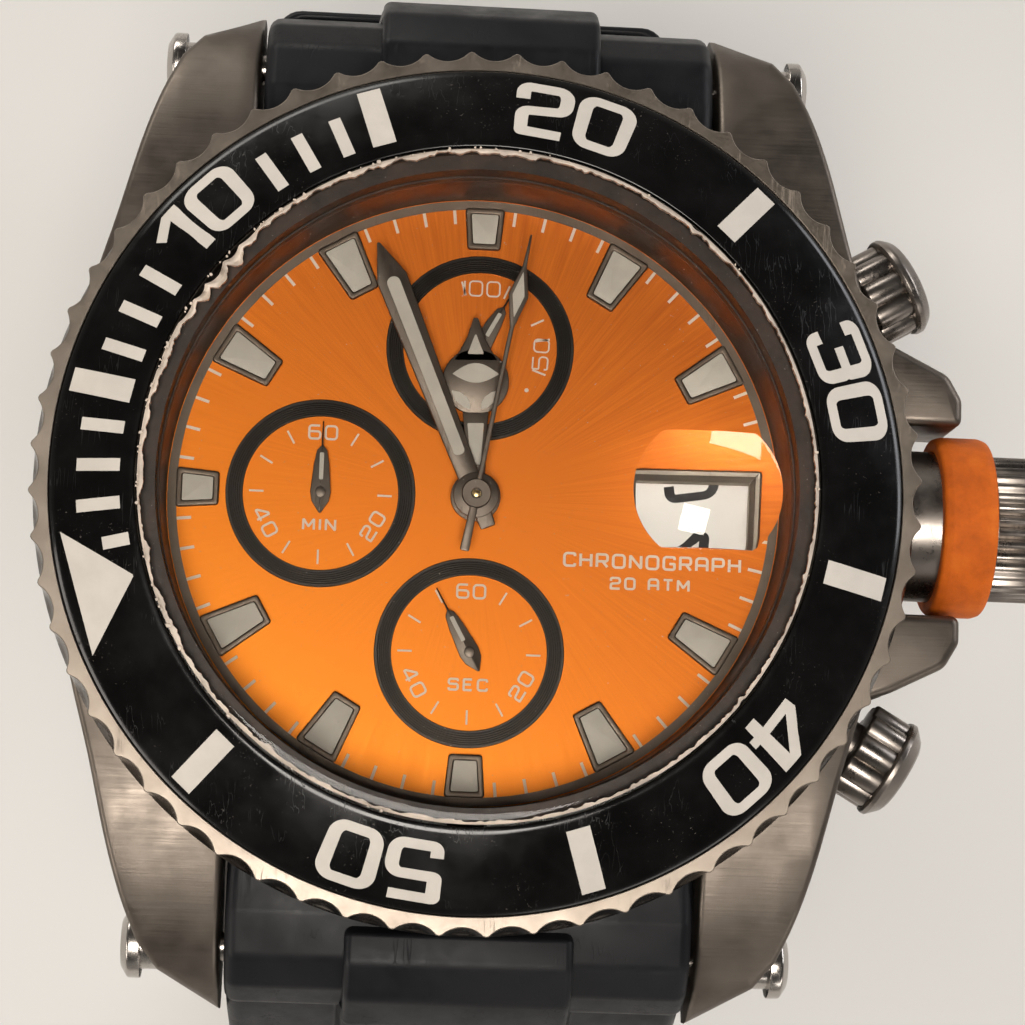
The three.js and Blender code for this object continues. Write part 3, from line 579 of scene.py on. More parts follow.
# darker copy of the polished steel, shared by the crown and the push buttons: painted shade on the crown, which sits
# in shadow between the bezel and the grip
STEEL_CR = metal("steel_crown_painted_shade", (0.27, 0.24, 0.215), 0.26, None, 0, 0.15, 0.10)
DARK = metal("dark_metal", (0.175, 0.145, 0.118), 0.42, None, 0, 0.12, 0.08)
DARK_RING = metal("dark_ring", (0.055, 0.048, 0.042), 0.33, None, 0, 0.1, 0.08)
FRAME_M = metal("marker_frame", (0.17, 0.135, 0.105), 0.46, None, 0, 0.12, 0.08)
BRASS_M = metal("brass_turned", (0.72, 0.53, 0.26), 0.28, "x", 0.1, 0.1, 0.2)
COIL_M = metal("coil_wire", (0.55, 0.22, 0.08), 0.35, "y", 0.1, 0.1, 0.5)
BACKSTEEL = metal("steel_plain", (0.55, 0.54, 0.52), 0.3, "y", 0.1, 0.1, 0.2)
INK = plastic("white_print", (0.64, 0.595, 0.535), 0.5, 9, 0.08, 0.10)
INK_D = plastic("dial_print", (0.86, 0.70, 0.56), 0.5, 9, 0.05, 0.08)
LUME = plastic("pale_lume", (0.62, 0.585, 0.50), 0.62, 9, 0.25, 0.14)
DATEFRAME = metal("date_frame_satin", (0.36, 0.31, 0.25), 0.5, None, 0, 0.1, 0.05)
BLACKINK = plastic("black_print", (0.015, 0.014, 0.014), 0.45, 9, 0.05, 0.1)
DATEWHITE = plastic("date_white", (0.80, 0.78, 0.73), 0.5, 8, 0.05, 0.08)
HOLDER = plastic("holder_plastic", (0.62, 0.60, 0.54), 0.5, 5, 0.1)
BOARD = plastic("board_green", (0.02, 0.14, 0.06), 0.35, 5, 0.1)
SEAL = plastic("seal_black", (0.012, 0.012, 0.012), 0.5, 5, 0.1)


def strap_material():
    m, nt, b = new_mat("strap_polyurethane")
    v = coords(nt)
    cl = noise_tex(nt, v, 0.12, 5, 0.6)
    nt.links.new(mix_rgb(nt, remap(nt, cl, 0, 1, 0.35, 0.65), (0.0045, 0.0050, 0.0068, 1), (0.0085, 0.0085, 0.010, 1)), b.inputs["Base Color"])
    fine = noise_tex(nt, v, 14, 5, 0.7)
    sm = noise_tex(nt, v, 0.35, 4, 0.65)
    s = scratches(nt, 0.35, 0.02, 0.3)
    r = math_node(nt, "ADD", remap(nt, sm, 0.34, 0.56, 0.3, 0.7), math_node(nt, "MULTIPLY", s, 0.18))
    nt.links.new(r, b.inputs["Roughness"])
    h = math_node(nt, "ADD", math_node(nt, "MULTIPLY", fine, 0.35), math_node(nt, "MULTIPLY", s, -0.5))
    bump(nt, b, h, 0.28, 0.00004)
    b.inputs["Specular IOR Level"].default_value = 0.24
    return m


def orange_rubber():
    m, nt, b = new_mat("crown_orange_rubber")
    v = coords(nt)
    cl = noise_tex(nt, v, 0.55, 5, 0.65)
    c = ramp(nt, cl, [(0.3, (0.50, 0.095, 0.005, 1)), (0.55, (0.68, 0.135, 0.006, 1)), (0.75, (0.76, 0.18, 0.012, 1))])
    nt.links.new(c, b.inputs["Base Color"])
    fine = noise_tex(nt, v, 11, 6, 0.75)
    nt.links.new(remap(nt, fine, 0.55, 0.85, 0.3, 0.7), b.inputs["Roughness"])
    b.inputs["Specular IOR Level"].default_value = 0.3
    bump(nt, b, fine, 0.5, 0.00008)
    return m


def insert_material():
    m, nt, b = new_mat("bezel_insert_black")
    v = coords(nt)
    n = noise_tex(nt, v, 0.3, 4, 0.6)
    dust = noise_tex(nt, v, 5.5, 3, 0.75)
    dmask = ramp(nt, dust, [(0.655, g(0)), (0.70, g(1))])
    area = ramp(nt, noise_tex(nt, v, 0.22, 3, 0.5), [(0.5, g(0)), (0.62, g(1))])
    d = math_node(nt, "MULTIPLY", math_node(nt, "MULTIPLY", dmask, area), 0.35)
    base = mix_rgb(nt, remap(nt, n, 0, 1, 0.35, 0.65), (0.0030, 0.0028, 0.0028, 1), (0.0055, 0.005, 0.005, 1))
    nt.links.new(mix_rgb(nt, d, base, (0.30, 0.27, 0.24, 1)), b.inputs["Base Color"])
    s = scratches(nt, 0.45, 0.016, 0.7)
    r = math_node(nt, "ADD", remap(nt, n, 0.10, 0.24, 0.3, 0.7), math_node(nt, "MULTIPLY", s, 0.35))
    nt.links.new(r, b.inputs["Roughness"])
    b.inputs["Specular IOR Level"].default_value = 0.35
    bump(nt, b, math_node(nt, "ADD", math_node(nt, "MULTIPLY", s, -0.4), math_node(nt, "MULTIPLY", dmask, 0.2)), 0.12, 0.00002)
    return m


def dial_material():
    m, nt, b = new_mat("dial_sunburst_orange")
    tc = N(nt, "ShaderNodeTexCoord")
    sep = N(nt, "ShaderNodeSeparateXYZ")
    nt.links.new(tc.outputs["Object"], sep.inputs["Vector"])
    ang = math_node(nt, "ARCTAN2", sep.outputs["Y"], sep.outputs["X"])
    comb = N(nt, "ShaderNodeCombineXYZ")
    nt.links.new(math_node(nt, "MULTIPLY", ang, 30.0), comb.inputs["X"])
    r2 = math_node(nt, "MULTIPLY", math_node(nt, "ADD", math_node(nt, "POWER", sep.outputs["X"], 2), math_node(nt, "POWER", sep.outputs["Y"], 2)), 2000.0)
    nt.links.new(r2, comb.inputs["Y"])
    ray = noise_tex(nt, comb.outputs["Vector"], 3.0, 4, 0.7)
    # painted light: slow change of tone across the dial, brighter to the lower left where the lamp's sheen falls,
    # browner to the upper right
    dg = math_node(nt, "ADD", math_node(nt, "MULTIPLY", sep.outputs["X"], -0.55), math_node(nt, "MULTIPLY", sep.outputs["Y"], -0.83))
    t = remap(nt, dg, 0, 1, -0.018, 0.016)
    dial_tone_painted_sheen = ramp(nt, t, [(0.0, (0.52, 0.110, 0.006, 1)), (0.35, (0.66, 0.148, 0.005, 1)), (0.65, (0.80, 0.195, 0.004, 1)), (1.0, (0.93, 0.265, 0.004, 1))])
    col = mix_rgb(nt, remap(nt, ray, 0.0, 0.35, 0.35, 0.7), dial_tone_painted_sheen, (1.0, 0.30, 0.015, 1))
    nt.links.new(col, b.inputs["Base Color"])
    b.inputs["Metallic"].default_value = 0.45
    nt.links.new(remap(nt, ray, 0.38, 0.52, 0.3, 0.7), b.inputs["Roughness"])
    b.inputs["Specular IOR Level"].default_value = 0.4
    bump(nt, b, ray, 0.06, 0.00002)
    return m


def glass_material(name, edge=0.0):
    """Clear mineral glass seen straight through, with its own surface gloss of varying roughness and specks of dust.
    """
    m, nt, b = new_mat(name)
    nt.nodes.remove(b)
    out = [n for n in nt.nodes if n.type == "OUTPUT_MATERIAL"][0]
    tr = N(nt, "ShaderNodeBsdfTransparent")
    tr.inputs["Color"].default_value = (0.985, 0.985, 0.98, 1)
    gl = N(nt, "ShaderNodeBsdfGlossy")
    gl.inputs["Color"].default_value = (1, 1, 1, 1)
    v = coords(nt)
    sm = noise_tex(nt, v, 0.4, 4, 0.6)
    nt.links.new(remap(nt, sm, 0.02, 0.10, 0.35, 0.7), gl.inputs["Roughness"])
    fr = N(nt, "ShaderNodeFresnel")
    fr.inputs["IOR"].default_value = 1.25
    mx = N(nt, "ShaderNodeMixShader")
    nt.links.new(fr.outputs["Fac"], mx.inputs["Fac"])
    nt.links.new(tr.outputs["BSDF"], mx.inputs[1])
    nt.links.new(gl.outputs["BSDF"], mx.inputs[2])
    # specks of dust on the surface
    df = N(nt, "ShaderNodeBsdfDiffuse")
    df.inputs["Color"].default_value = (0.75, 0.68, 0.60, 1)
    dust = noise_tex(nt, v, 7.0, 2, 0.8)
    dm = math_node(nt, "MULTIPLY", ramp(nt, dust, [(0.71, g(0)), (0.75, g(1))]), 0.55)
    mx2 = N(nt, "ShaderNodeMixShader")
    nt.links.new(dm, mx2.inputs["Fac"])
    nt.links.new(mx.outputs["Shader"], mx2.inputs[1])
    nt.links.new(df.outputs["BSDF"], mx2.inputs[2])
    nt.links.new(mx2.outputs["Shader"], out.inputs["Surface"])
    return m


STRAP_M = strap_material()
ORANGE_RUB = orange_rubber()
INSERT_M = insert_material()
DIAL_M = dial_material()
GLASS_M = glass_material("crystal_glass")


def clear_under():
    """Underside of the crystal: light leaves it without a second reflection."""
    m, nt, b = new_mat("crystal_underside")
    out = [n for n in nt.nodes if n.type == "OUTPUT_MATERIAL"][0]
    nt.nodes.remove(b)
    tr = N(nt, "ShaderNodeBsdfTransparent")
    tr.inputs["Color"].default_value = (1, 1, 1, 1)
    nt.links.new(tr.outputs["BSDF"], out.inputs["Surface"])
    return m


GLASS_IN = clear_under()


def lens_material():
    """Refracting glass; rays from the lamps pass straight through, so that the date under it is lit."""
    m, nt, b = new_mat("lens_glass")
    out = [n for n in nt.nodes if n.type == "OUTPUT_MATERIAL"][0]
    b.inputs["Transmission Weight"].default_value = 1.0
    b.inputs["IOR"].default_value = 1.5
    b.inputs["Specular IOR Level"].default_value = 0.05
    b.inputs["Base Color"].default_value = (0.99, 0.99, 0.985, 1)
    v = coords(nt)
    sm = noise_tex(nt, v, 0.8, 3, 0.6)
    nt.links.new(remap(nt, sm, 0.0, 0.012, 0.4, 0.7), b.inputs["Roughness"])
    lp = N(nt, "ShaderNodeLightPath")
    tr = N(nt, "ShaderNodeBsdfTransparent")
    mx = N(nt, "ShaderNodeMixShader")
    nt.links.new(lp.outputs["Is Shadow Ray"], mx.inputs["Fac"])
    nt.links.new(b.outputs["BSDF"], mx.inputs[1])
    nt.links.new(tr.outputs["BSDF"], mx.inputs[2])
    nt.links.new(mx.outputs["Shader"], out.inputs["Surface"])
    return m


def floor_material():
    m, nt, b = new_mat("pale_floor")
    v = coords(nt, (1, 1, 1))
    n = noise_tex(nt, v, 3, 3)
    nt.links.new(mix_rgb(nt, n, (0.70, 0.69, 0.67, 1), (0.74, 0.73, 0.71, 1)), b.inputs["Base Color"])
    b.inputs["Roughness"].default_value = 0.8
    return m


LENS_M = lens_material()

# ------------------------------------------------------------------ camera, lights, floor
cd = bpy.data.cameras.new("camera")
cd.sensor_width = 36
cd.sensor_fit = "HORIZONTAL"
cd.lens = 98.3
cd.clip_start = 0.01
cam = bpy.data.objects.new("camera", cd)
sc.collection.objects.link(cam)
CAM_R = Matrix(((0.9978548, -0.0417124, -0.050456), (0.0344536, 0.9899669, -0.1370347), (0.0556658, 0.1350023, 0.9892804)))
cam.matrix_world = Matrix.Translation(Vector((-5.7155, -21.9449, 162.1941)) * MM) @ CAM_R.to_4x4()
sc.camera = cam


def area(name, az, el, dist, size, power, color=(1, 1, 1), target=(0, 0, 0.0)):
    """az clockwise from 12 o'clock, el above the horizon; metres and watts."""
    d = Vector((math.sin(rad(az)) * math.cos(rad(el)), math.cos(rad(az)) * math.cos(rad(el)), math.sin(rad(el))))
    l = bpy.data.lights.new(name, "AREA")
    l.shape = "RECTANGLE"
    l.size, l.size_y = size
    l.energy = power
    l.color = color
    o = bpy.data.objects.new(name, l)
    o.location = Vector(target) + d * dist
    o.rotation_euler = (Vector(target) - o.location).to_track_quat("-Z", "Y").to_euler()
    sc.collection.objects.link(o)
    return o


area("top", 192, 75, 0.60, (0.20, 0.20), 2.5, (1.0, 0.94, 0.87))
area("low_left", 245, 24, 0.55, (0.40, 0.12), 1.0, (1.0, 0.93, 0.86))
area("low_right", 65, 22, 0.60, (0.45, 0.12), 1.2, (0.95, 0.96, 1.0))
area("low_back", 335, 24, 0.60, (0.36, 0.12), 1.1, (1.0, 0.96, 0.9))
area("low_front", 150, 20, 0.60, (0.40, 0.10), 0.5, (1.0, 0.95, 0.9))

w = bpy.data.worlds.new("studio")
sc.world = w
w.use_nodes = True
wn = w.node_tree
bg = wn.nodes["Background"]
tcw = N(wn, "ShaderNodeTexCoord")
sepw = N(wn, "ShaderNodeSeparateXYZ")
wn.links.new(tcw.outputs["Generated"], sepw.inputs["Vector"])
wcol = ramp(wn, sepw.outputs["Z"], [(0.0, (0.62, 0.59, 0.55, 1)), (0.28, (0.46, 0.44, 0.41, 1)), (0.52, (0.14, 0.135, 0.13, 1)), (0.72, (0.06, 0.058, 0.056, 1)), (1.0, (0.06, 0.058, 0.056, 1))])
wn.links.new(wcol, bg.inputs["Color"])
bg.inputs["Strength"].default_value = 0.6

FLOOR_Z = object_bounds()[0][2] - 0.0002
fme = bpy.data.meshes.new("floor")
fme.from_pydata([(-1.2, -1.2, FLOOR_Z), (1.2, -1.2, FLOOR_Z), (1.2, 1.2, FLOOR_Z), (-1.2, 1.2, FLOOR_Z)], [], [(0, 1, 2, 3)])
floor = bpy.data.objects.new("floor", fme)
sc.collection.objects.link(floor)
fme.materials.append(floor_material())


# ------------------------------------------------------------------ outline solids
def fillet_c(pts, r, n=4, closed=True):
    """fillet with the same number of points at every corner, so that two outlines match."""
    out = []
    m = len(pts)
    rs = r if isinstance(r, (list, tuple)) else [r] * m
    for i in range(m):
        one = fillet([pts[(i - 1) % m], pts[i], pts[(i + 1) % m]], [0, rs[i], 0], n, False)[1:-1]
        if not closed and i in (0, m - 1):
            one = [tuple(pts[i][:2])]
        if len(one) == 1:
            one = one * (n + 1)
        out += one
    return out


def inset(pts, d):
    m = len(pts)
    area2 = sum(pts[i][0] * pts[(i + 1) % m][1] - pts[(i + 1) % m][0] * pts[i][1] for i in range(m))
    s = 1 if area2 > 0 else -1
    out = []
    for i in range(m):
        p = Vector(pts[i])
        k = i - 1
        while (Vector(pts[k % m]) - p).length < 1e-6 and k > i - m: k -= 1
        q = i + 1
        while (Vector(pts[q % m]) - p).length < 1e-6 and q < i + m: q += 1
        d1 = (p - Vector(pts[k % m])).normalized()
        d2 = (Vector(pts[q % m]) - p).normalized()
        t = d1 + d2
        t = t.normalized() if t.length > 1e-6 else d1
        nn = Vector((-t.y, t.x)) * s
        c = max(0.45, nn.dot(Vector((-d1.y, d1.x)) * s))
        out.append((p.x + nn.x * d / c, p.y + nn.y * d / c))
    return out


def loops_solid(loops, cap=True, closed=False):
    """Loops of equal length joined in order; capped at both ends, or closed on itself."""
    V, F = [], []
    m = len(loops[0])
    for l in loops:
        V += [tuple(p) for p in l]
    k = len(loops)
    for i in range(k if closed else k - 1):
        a, b = i * m, ((i + 1) % k) * m
        F += [(a + j, a + (j + 1) % m, b + (j + 1) % m, b + j) for j in range(m)]
    if cap and not closed:
        F += [tuple(range(m - 1, -1, -1)), tuple(range((k - 1) * m, k * m))]
    return V, F


def rprism(pts, z0, z1, b=0.1, bb=None, n=3):
    """Prism with rounded top (b) and bottom (bb) edges."""
    bb = b if bb is None else bb
    L = []
    for i in range(n + 1 if bb > 0 else 1):
        t = PI / 2 * (1 - i / n) if bb > 0 else 0
        L.append([(x, y, z0 + bb - bb * math.sin(t)) for x, y in inset(pts, bb * (1 - math.cos(t)))])
    for i in range(n + 1 if b > 0 else 1):
        t = PI / 2 * i / n if b > 0 else 0
        L.append([(x, y, z1 - b + b * math.sin(t)) for x, y in inset(pts, b * (1 - math.cos(t)))])
    return loops_solid(L)


def rframe(outer, inner, z0, z1, b=0.1, n=2):
    """Closed frame between two matching outlines, with rounded edges."""
    L = []
    def arc(loop, sgn, za, zs, rev):
        for i in range(n + 1):
            t = PI / 2 * (i / n if not rev else 1 - i / n)
            L.append([(x, y, za + zs * b * math.sin(t)) for x, y in inset(loop, sgn * b * (1 - math.cos(t)))])
    arc(outer, 1, z1 - b, 1, False)
    arc(inner, -1, z1 - b, 1, True)
    arc(inner, -1, z0 + b, -1, False)
    arc(outer, 1, z0 + b, -1, True)
    return loops_solid(L, closed=True)


def turned(vf, cw, c=(0, 0, 0)):
    return moved(vf, Matrix.Translation(c) @ Matrix.Rotation(-rad(cw), 4, "Z"))


def joined(*parts):
    V, F = [], []
    for v, f in parts:
        k = len(V)
        V += list(v)
        F += [tuple(i + k for i in q) for q in f]
    return V, F


def mesh(name, vf, mat, body="case", **kw):
    return obj(name, vf[0], vf[1], mat, body, **kw)


def mirror_outline(right):
    """Right half from bottom to top; mirrored about the Y axis, anticlockwise."""
    return [tuple(p) for p in right] + [(-x, y) for x, y in reversed(right) if x > 1e-6]


# ------------------------------------------------------------------ bezel ring
def bezel_ring():
    per, n_s = 18, 60
    seg = per * n_s
    v, f = [], []
    half, hw, dep = 24.0 * math.sin(rad(3)), 1.16, 0.50
    R = (hw * hw + dep * dep) / (2 * dep)
    for i in range(seg):
        a = 2 * PI * i / seg
        u = (i % per) / per
        x = (u if u < 0.5 else u - 1) * 2 * half
        d = 0.0 if abs(x) >= hw else math.sqrt(R * R - x * x) - (R - dep)
        ro = 23.99 - d
        prof = [(18.24, 10.46), (18.24, 12.0), (18.75, 12.0), (18.75, 12.6), (18.24, 12.6), (18.24, 14.86), (22.93, 13.40), (22.93, 13.86),
                (22.97, BZ), (min(23.3, ro - 0.2), BZ), (ro - 0.05, BZ - 0.005), (ro, BZ - 0.05)]
        for k in range(1, 11):
            t = k / 10
            prof.append((23.99 - d * (1 - t * t) ** 0.8, BZ - 0.05 - 2.25 * t))
        prof += [(23.99, 11.3), (23.9, 11.1), (23.5, 10.55), (23.35, 10.44), (21.2, 10.42), (21.2, 10.95), (19.0, 10.95), (19.0, 10.44)]
        v += [(r * math.cos(a), r * math.sin(a), z) for r, z in prof]
        m = len(prof)
    idx = []
    for i in range(seg):
        j = (i + 1) % seg
        u = (i % per + 0.5) / per
        x = (u if u < 0.5 else u - 1) * 2 * half
        for k in range(m):
            l = (k + 1) % m
            f.append((i * m + k, j * m + k, j * m + l, i * m + l))
            # material 1 on the scoop walls paints shade into the scoops
            idx.append(1 if 11 <= k <= 20 and abs(x) < hw * 0.93 else 0)
    return v, f, idx


_b = bezel_ring()
BR = obj("bezel_ring_scalloped", _b[0], _b[1], None, "bezel", smooth=40, replaces=("bezel_ring",), fix=False, mats=[STEEL_BZ, SCOOP_PAINTED_SHADE])
BR.data.polygons.foreach_set("material_index", _b[2])
bm_ = bmesh.new()
bm_.from_mesh(BR.data)
bmesh.ops.recalc_face_normals(bm_, faces=bm_.faces)
bm_.to_mesh(BR.data)
bm_.free()
finish_mesh(BR.data, 40)


def zi(r):
    t = (22.9 - r) / 4.6
    return BZ + 1.48 * (t + 0.22 * t * (1 - t))


prof = [(18.28, 14.90), (22.88, 13.43), (22.9, 13.5), (22.9, 13.83), (22.87, 13.885)]
prof += [(22.83 - (22.83 - 18.36) * i / 14, zi(22.83 - (22.83 - 18.36) * i / 14)) for i in range(15)]
prof += [(18.31, zi(18.36) - 0.02), (18.28, zi(18.36) - 0.08)]
lathe("bezel_insert_gloss", prof, INSERT_M, 256, body="bezel", smooth=40, replaces=("bezel_insert",))


def on_insert(cw, rc, lift=0.004):
    def place(x, y, h):
        r = rc + y
        a = rad(cw) + x / rc
        return (r * math.sin(a), r * math.cos(a), zi(r) + lift + h)
    return place


def bar(cw, r0, r1, w0, w1=None, rc=None, lift=0.004, thick=0.014):
    """Radial bar of true width; w0 at r0 and w1 at r1."""
    w1 = w0 if w1 is None else w1
    n = 10
    L, Rr = [], []
    for i in range(n + 1):
        t = i / n
        r = r0 + (r1 - r0) * t
        k = (w0 + (w1 - w0) * t) / 2
        if i in (0, n) and w0 == w1:
            k -= 0.0
        rcc = rc or 20.8
        L.append((-k * rcc / r, r - rcc)); Rr.append((k * rcc / r, r - rcc))
    return strip_solids([(L, Rr, False)], on_insert(cw, rc or 20.8, lift), thick)


def triangle(apex=18.95, base=22.12, hw=3.42, n_=24, thick=0.014):
    """The zero mark: a straight-sided triangle pointing inwards, laid on the cone."""
    V, F, rows = [], [], 14
    A = rad(BEZ_A)
    for lay in (0.004, 0.004 + thick):
        for i in range(rows + 1):
            t = i / rows
            y = apex + (base - apex) * t
            for j in range(n_ + 1):
                x = (j / n_ * 2 - 1) * (0.06 + (hw - 0.06) * t)
                r = math.hypot(x, y)
                a = A + math.atan2(x, y)
                V.append((r * math.sin(a), r * math.cos(a), zi(r) + lay))
    w_ = n_ + 1
    o = w_ * (rows + 1)
    for i in range(rows):
        for j in range(n_):
            a = i * w_ + j
            F += [(a, a + w_, a + w_ + 1, a + 1), (o + a, o + a + 1, o + a + w_ + 1, o + a + w_)]
    rim = list(range(w_)) + [i * w_ + n_ for i in range(1, rows + 1)] + list(range(rows * w_ + n_ - 1, rows * w_ - 1, -1)) + [i * w_ for i in range(rows - 1, 0, -1)]
    F += [(rim[i], rim[(i + 1) % len(rim)], o + rim[(i + 1) % len(rim)], o + rim[i]) for i in range(len(rim))]
    return V, F


marks = []
for m in (5, 15, 25, 35, 45, 55):
    marks.append(bar(6 * m + BEZ_A, 19.05, 22.45, 1.30))
for m in (2, 3, 4, 6, 7, 8, 12, 13, 14):
    marks.append(bar(6 * m + BEZ_A, 19.05, 21.4, 0.68))
marks.append(bar(6 + BEZ_A, 18.75, 20.2, 0.68))
marks.append(triangle())
for t in ("10", "20", "30", "40", "50"):
    marks.append(numerals(t, 3.25, 0.53, 0.75, 0.24, on_insert(6 * int(t) + BEZ_A, 20.77), 0.014, 1.03, 0.5, 0.85, True))
mesh("bezel_marks", joined(*marks), INK, "bezel", smooth=30, fix=False)

# ------------------------------------------------------------------ crystal, lens, seal, inner ring
CHIPS = [(-45.5, 2.6, 0.26), (-49.5, 2.0, 0.50), (-54.0, 2.6, 0.68), (-58, 1.8, 0.46), (-62, 2.4, 0.34), (-72, 1.2, 0.16), (38, 0.9, 0.14), (128, 0.8, 0.15)]


def crystal():
    prof = [(0, 12.97), (6, 12.97), (16.8, 12.97), (17.22, 12.97), (17.25, 13.0), (17.25, 14.36), (18.05, 14.36), (18.1, 14.42), (18.12, 15.2), (18.08, 15.34), (17.9, 15.47), (17.7, 15.5), (17.2, 15.5), (6, 15.5), (0, 15.5)]
    seg = 240
    v, f, idx = [], [], []
    m = len(prof)
    chips = CHIPS
    for i in range(seg):
        a = 2 * PI * i / seg
        cw = (90 - math.degrees(a) + 180) % 360 - 180
        c = 0.0
        for ca, wd, dp in chips:
            d = abs((cw - ca + 180) % 360 - 180) / wd
            if d < 1:
                c = max(c, dp * (1 - d * d) * (0.75 + 0.25 * math.sin(i * 1.7)))
        for k, (r, z) in enumerate(prof):
            if k in (8, 9, 10):
                r -= c * (0.5, 0.8, 0.95)[k - 8]
                z -= c * (0.45, 0.3, 0.02)[k - 8]
            if k in (11, 12):
                r -= c * 0.9
            v.append((r * math.cos(a), r * math.sin(a), z))
    for i in range(seg):
        j = (i + 1) % seg
        for k in range(m - 1):
            f.append((i * m + k, j * m + k, j * m + k + 1, i * m + k + 1))
            # material 1 paints the crystal's step and side opaque dark brown: painted shade in the gap under the bezel
            idx.append(1 if 3 <= k <= 7 else (2 if k < 3 else 0))
    return v, f, idx


_c = crystal()
CY = obj("crystal_clear", _c[0], _c[1], None, smooth=0, replaces=("crystal",), fix=False, mats=[GLASS_M, NECK_M, GLASS_IN])
CY.data.polygons.foreach_set("material_index", _c[2])
bm_ = bmesh.new()
bm_.from_mesh(CY.data)
bmesh.ops.remove_doubles(bm_, verts=bm_.verts, dist=2e-7)
bmesh.ops.recalc_face_normals(bm_, faces=bm_.faces)
bm_.to_mesh(CY.data)
bm_.free()
finish_mesh(CY.data, 25)


def frosted_edge():
    """Ground and chipped edge of the crystal: a narrow ragged band, widest at the chips."""
    seg = 900
    v, f = [], []
    for i in range(seg):
        a = 2 * PI * i / seg
        cw = (90 - math.degrees(a) + 180) % 360 - 180
        c = 0.0
        for ca, wd, dp in CHIPS:
            d = abs((cw - ca + 180) % 360 - 180) / wd
            if d < 1:
                c = max(c, dp * (1 - d * d))
        p = Vector((18 * math.cos(a), 18 * math.sin(a), 3.0))
        n1, n2 = noise.noise(p * 1.1), noise.noise(p * 4.0 + Vector((9, 0, 0)))
        side = 0.5 + 0.5 * math.cos(rad(cw + 50))
        w_ = max(0.04, 0.10 + 0.10 * side + 0.20 * n1 * (0.4 + side) + 0.12 * n2)
        r1 = 18.125 - c * 0.45
        r0 = 18.06 - w_ - c * 0.98
        zt = 15.508 - c * 0.10
        for r, z in ((r0, 15.47), (r0 + 0.01, zt), (max(r0 + 0.02, r1 - 0.16 - c * 0.2), zt - 0.004), (r1, 15.36 - c * 0.3), (r1, 15.18 - c * 0.3), (r0, 15.18)):
            v.append((r * math.cos(a), r * math.sin(a), z + 0.012 * n2))
    for i in range(seg):
        j = (i + 1) % seg
        for k in range(6):
            f.append((i * 6 + k, j * 6 + k, j * 6 + (k + 1) % 6, i * 6 + (k + 1) % 6))
    return v, f


mesh("crystal_edge_ground", frosted_edge(), GROUND, smooth=25)


def specks():
    """Grains of dirt caught around the crystal, thickest at the upper left."""
    parts = []
    for _ in range(90):
        cw = rng.gauss(-55, 45) if rng.random() < 0.7 else rng.uniform(-180, 180)
        r = rng.uniform(18.06, 18.17)
        x, y = clockpos(cw, r)
        s_ = rng.choice((0.04, 0.05, 0.07, 0.10)) * rng.uniform(0.7, 1.3)
        q = [(x + s_ * rng.uniform(0.6, 1.2) * math.cos(t), y + s_ * rng.uniform(0.6, 1.2) * math.sin(t)) for t in [2 * PI * k / 7 for k in range(7)]]
        q = [(a_, b_) for a_, b_ in q if math.hypot(a_, b_) < 18.24]
        if len(q) > 4:
            parts.append(prism_data(q, 15.38, 15.5 + s_ * 0.5))
    return joined(*parts)


mesh("edge_grime", specks(), GROUND, smooth=60)


def lens():
    R, H, cut, z0 = 8.7, 4.0, 3.15, 15.522
    sag = R - math.sqrt(R * R - H * H)
    seg, rings = 96, 14
    v, f = [], []
    for k in range(rings + 1):
        t = k / rings
        for i in range(seg):
            a = 2 * PI * i / seg
            x, y = H * math.cos(a), H * math.sin(a)
            y = max(-cut, min(cut, y))
            x, y = x * t, y * t
            r = math.hypot(x, y)
            v.append((x + 12.15, y, z0 + 0.12 + sag - (R - math.sqrt(R * R - r * r))))
    m = seg
    for i in range(seg):
        a = 2 * PI * i / seg
        x, y = H * math.cos(a), max(-cut, min(cut, H * math.sin(a)))
        v.append((x + 12.15, y, z0))
    base = rings * m
    for k in range(rings):
        for i in range(seg):
            j = (i + 1) % seg
            if k == 0:
                f.append((i + m, j + m, 0))
            else:
                f.append((k * m + i, k * m + j, (k + 1) * m + j, (k + 1) * m + i))
    e = (rings + 1) * m
    f += [(base + i, base + (i + 1) % seg, e + (i + 1) % seg, e + i) for i in range(seg)]
    f.append(tuple(range(e + seg - 1, e - 1, -1)))
    return v, f


mesh("date_lens_clear", lens(), LENS_M, smooth=40, replaces=("date_lens",))
lathe("crystal_seal", [(17.29, 12.96), (17.58, 12.96), (17.58, 14.3), (17.29, 14.3)], NECK_M, 200, r=0.05, replaces=("crystal_gasket",))
# rehaut in the brown steel whose tint is a painted reflection of the dial
lathe("inner_ring_polished", [(17.04, 8.33), (18.5, 8.33), (18.5, 9.93), (17.42, 9.93), (17.42, 12.14), (17.14, 12.14)], STEEL_RING, 256, smooth=30, replaces=("inner_ring",))

# ------------------------------------------------------------------ dial
frame["nodes"]["dial"].data.materials.clear()
frame["nodes"]["dial"].data.materials.append(DIAL_M)


def flat(cx, cy, cw=0.0, z=DIAL, lift=0.004):
    c, s = math.cos(rad(cw)), math.sin(rad(cw))
    def place(x, y, h):
        return (cx + x * c + y * s, cy - x * s + y * c, z + lift + h)
    return place


def dash(place, x0, y0, x1, y1, w, thick=0.012):
    L, Rr = ribbon([(x0, y0), (x1, y1)], w, False)
    return strip_solids([([tuple(p) for p in L], [tuple(p) for p in Rr], False)], place, thick)


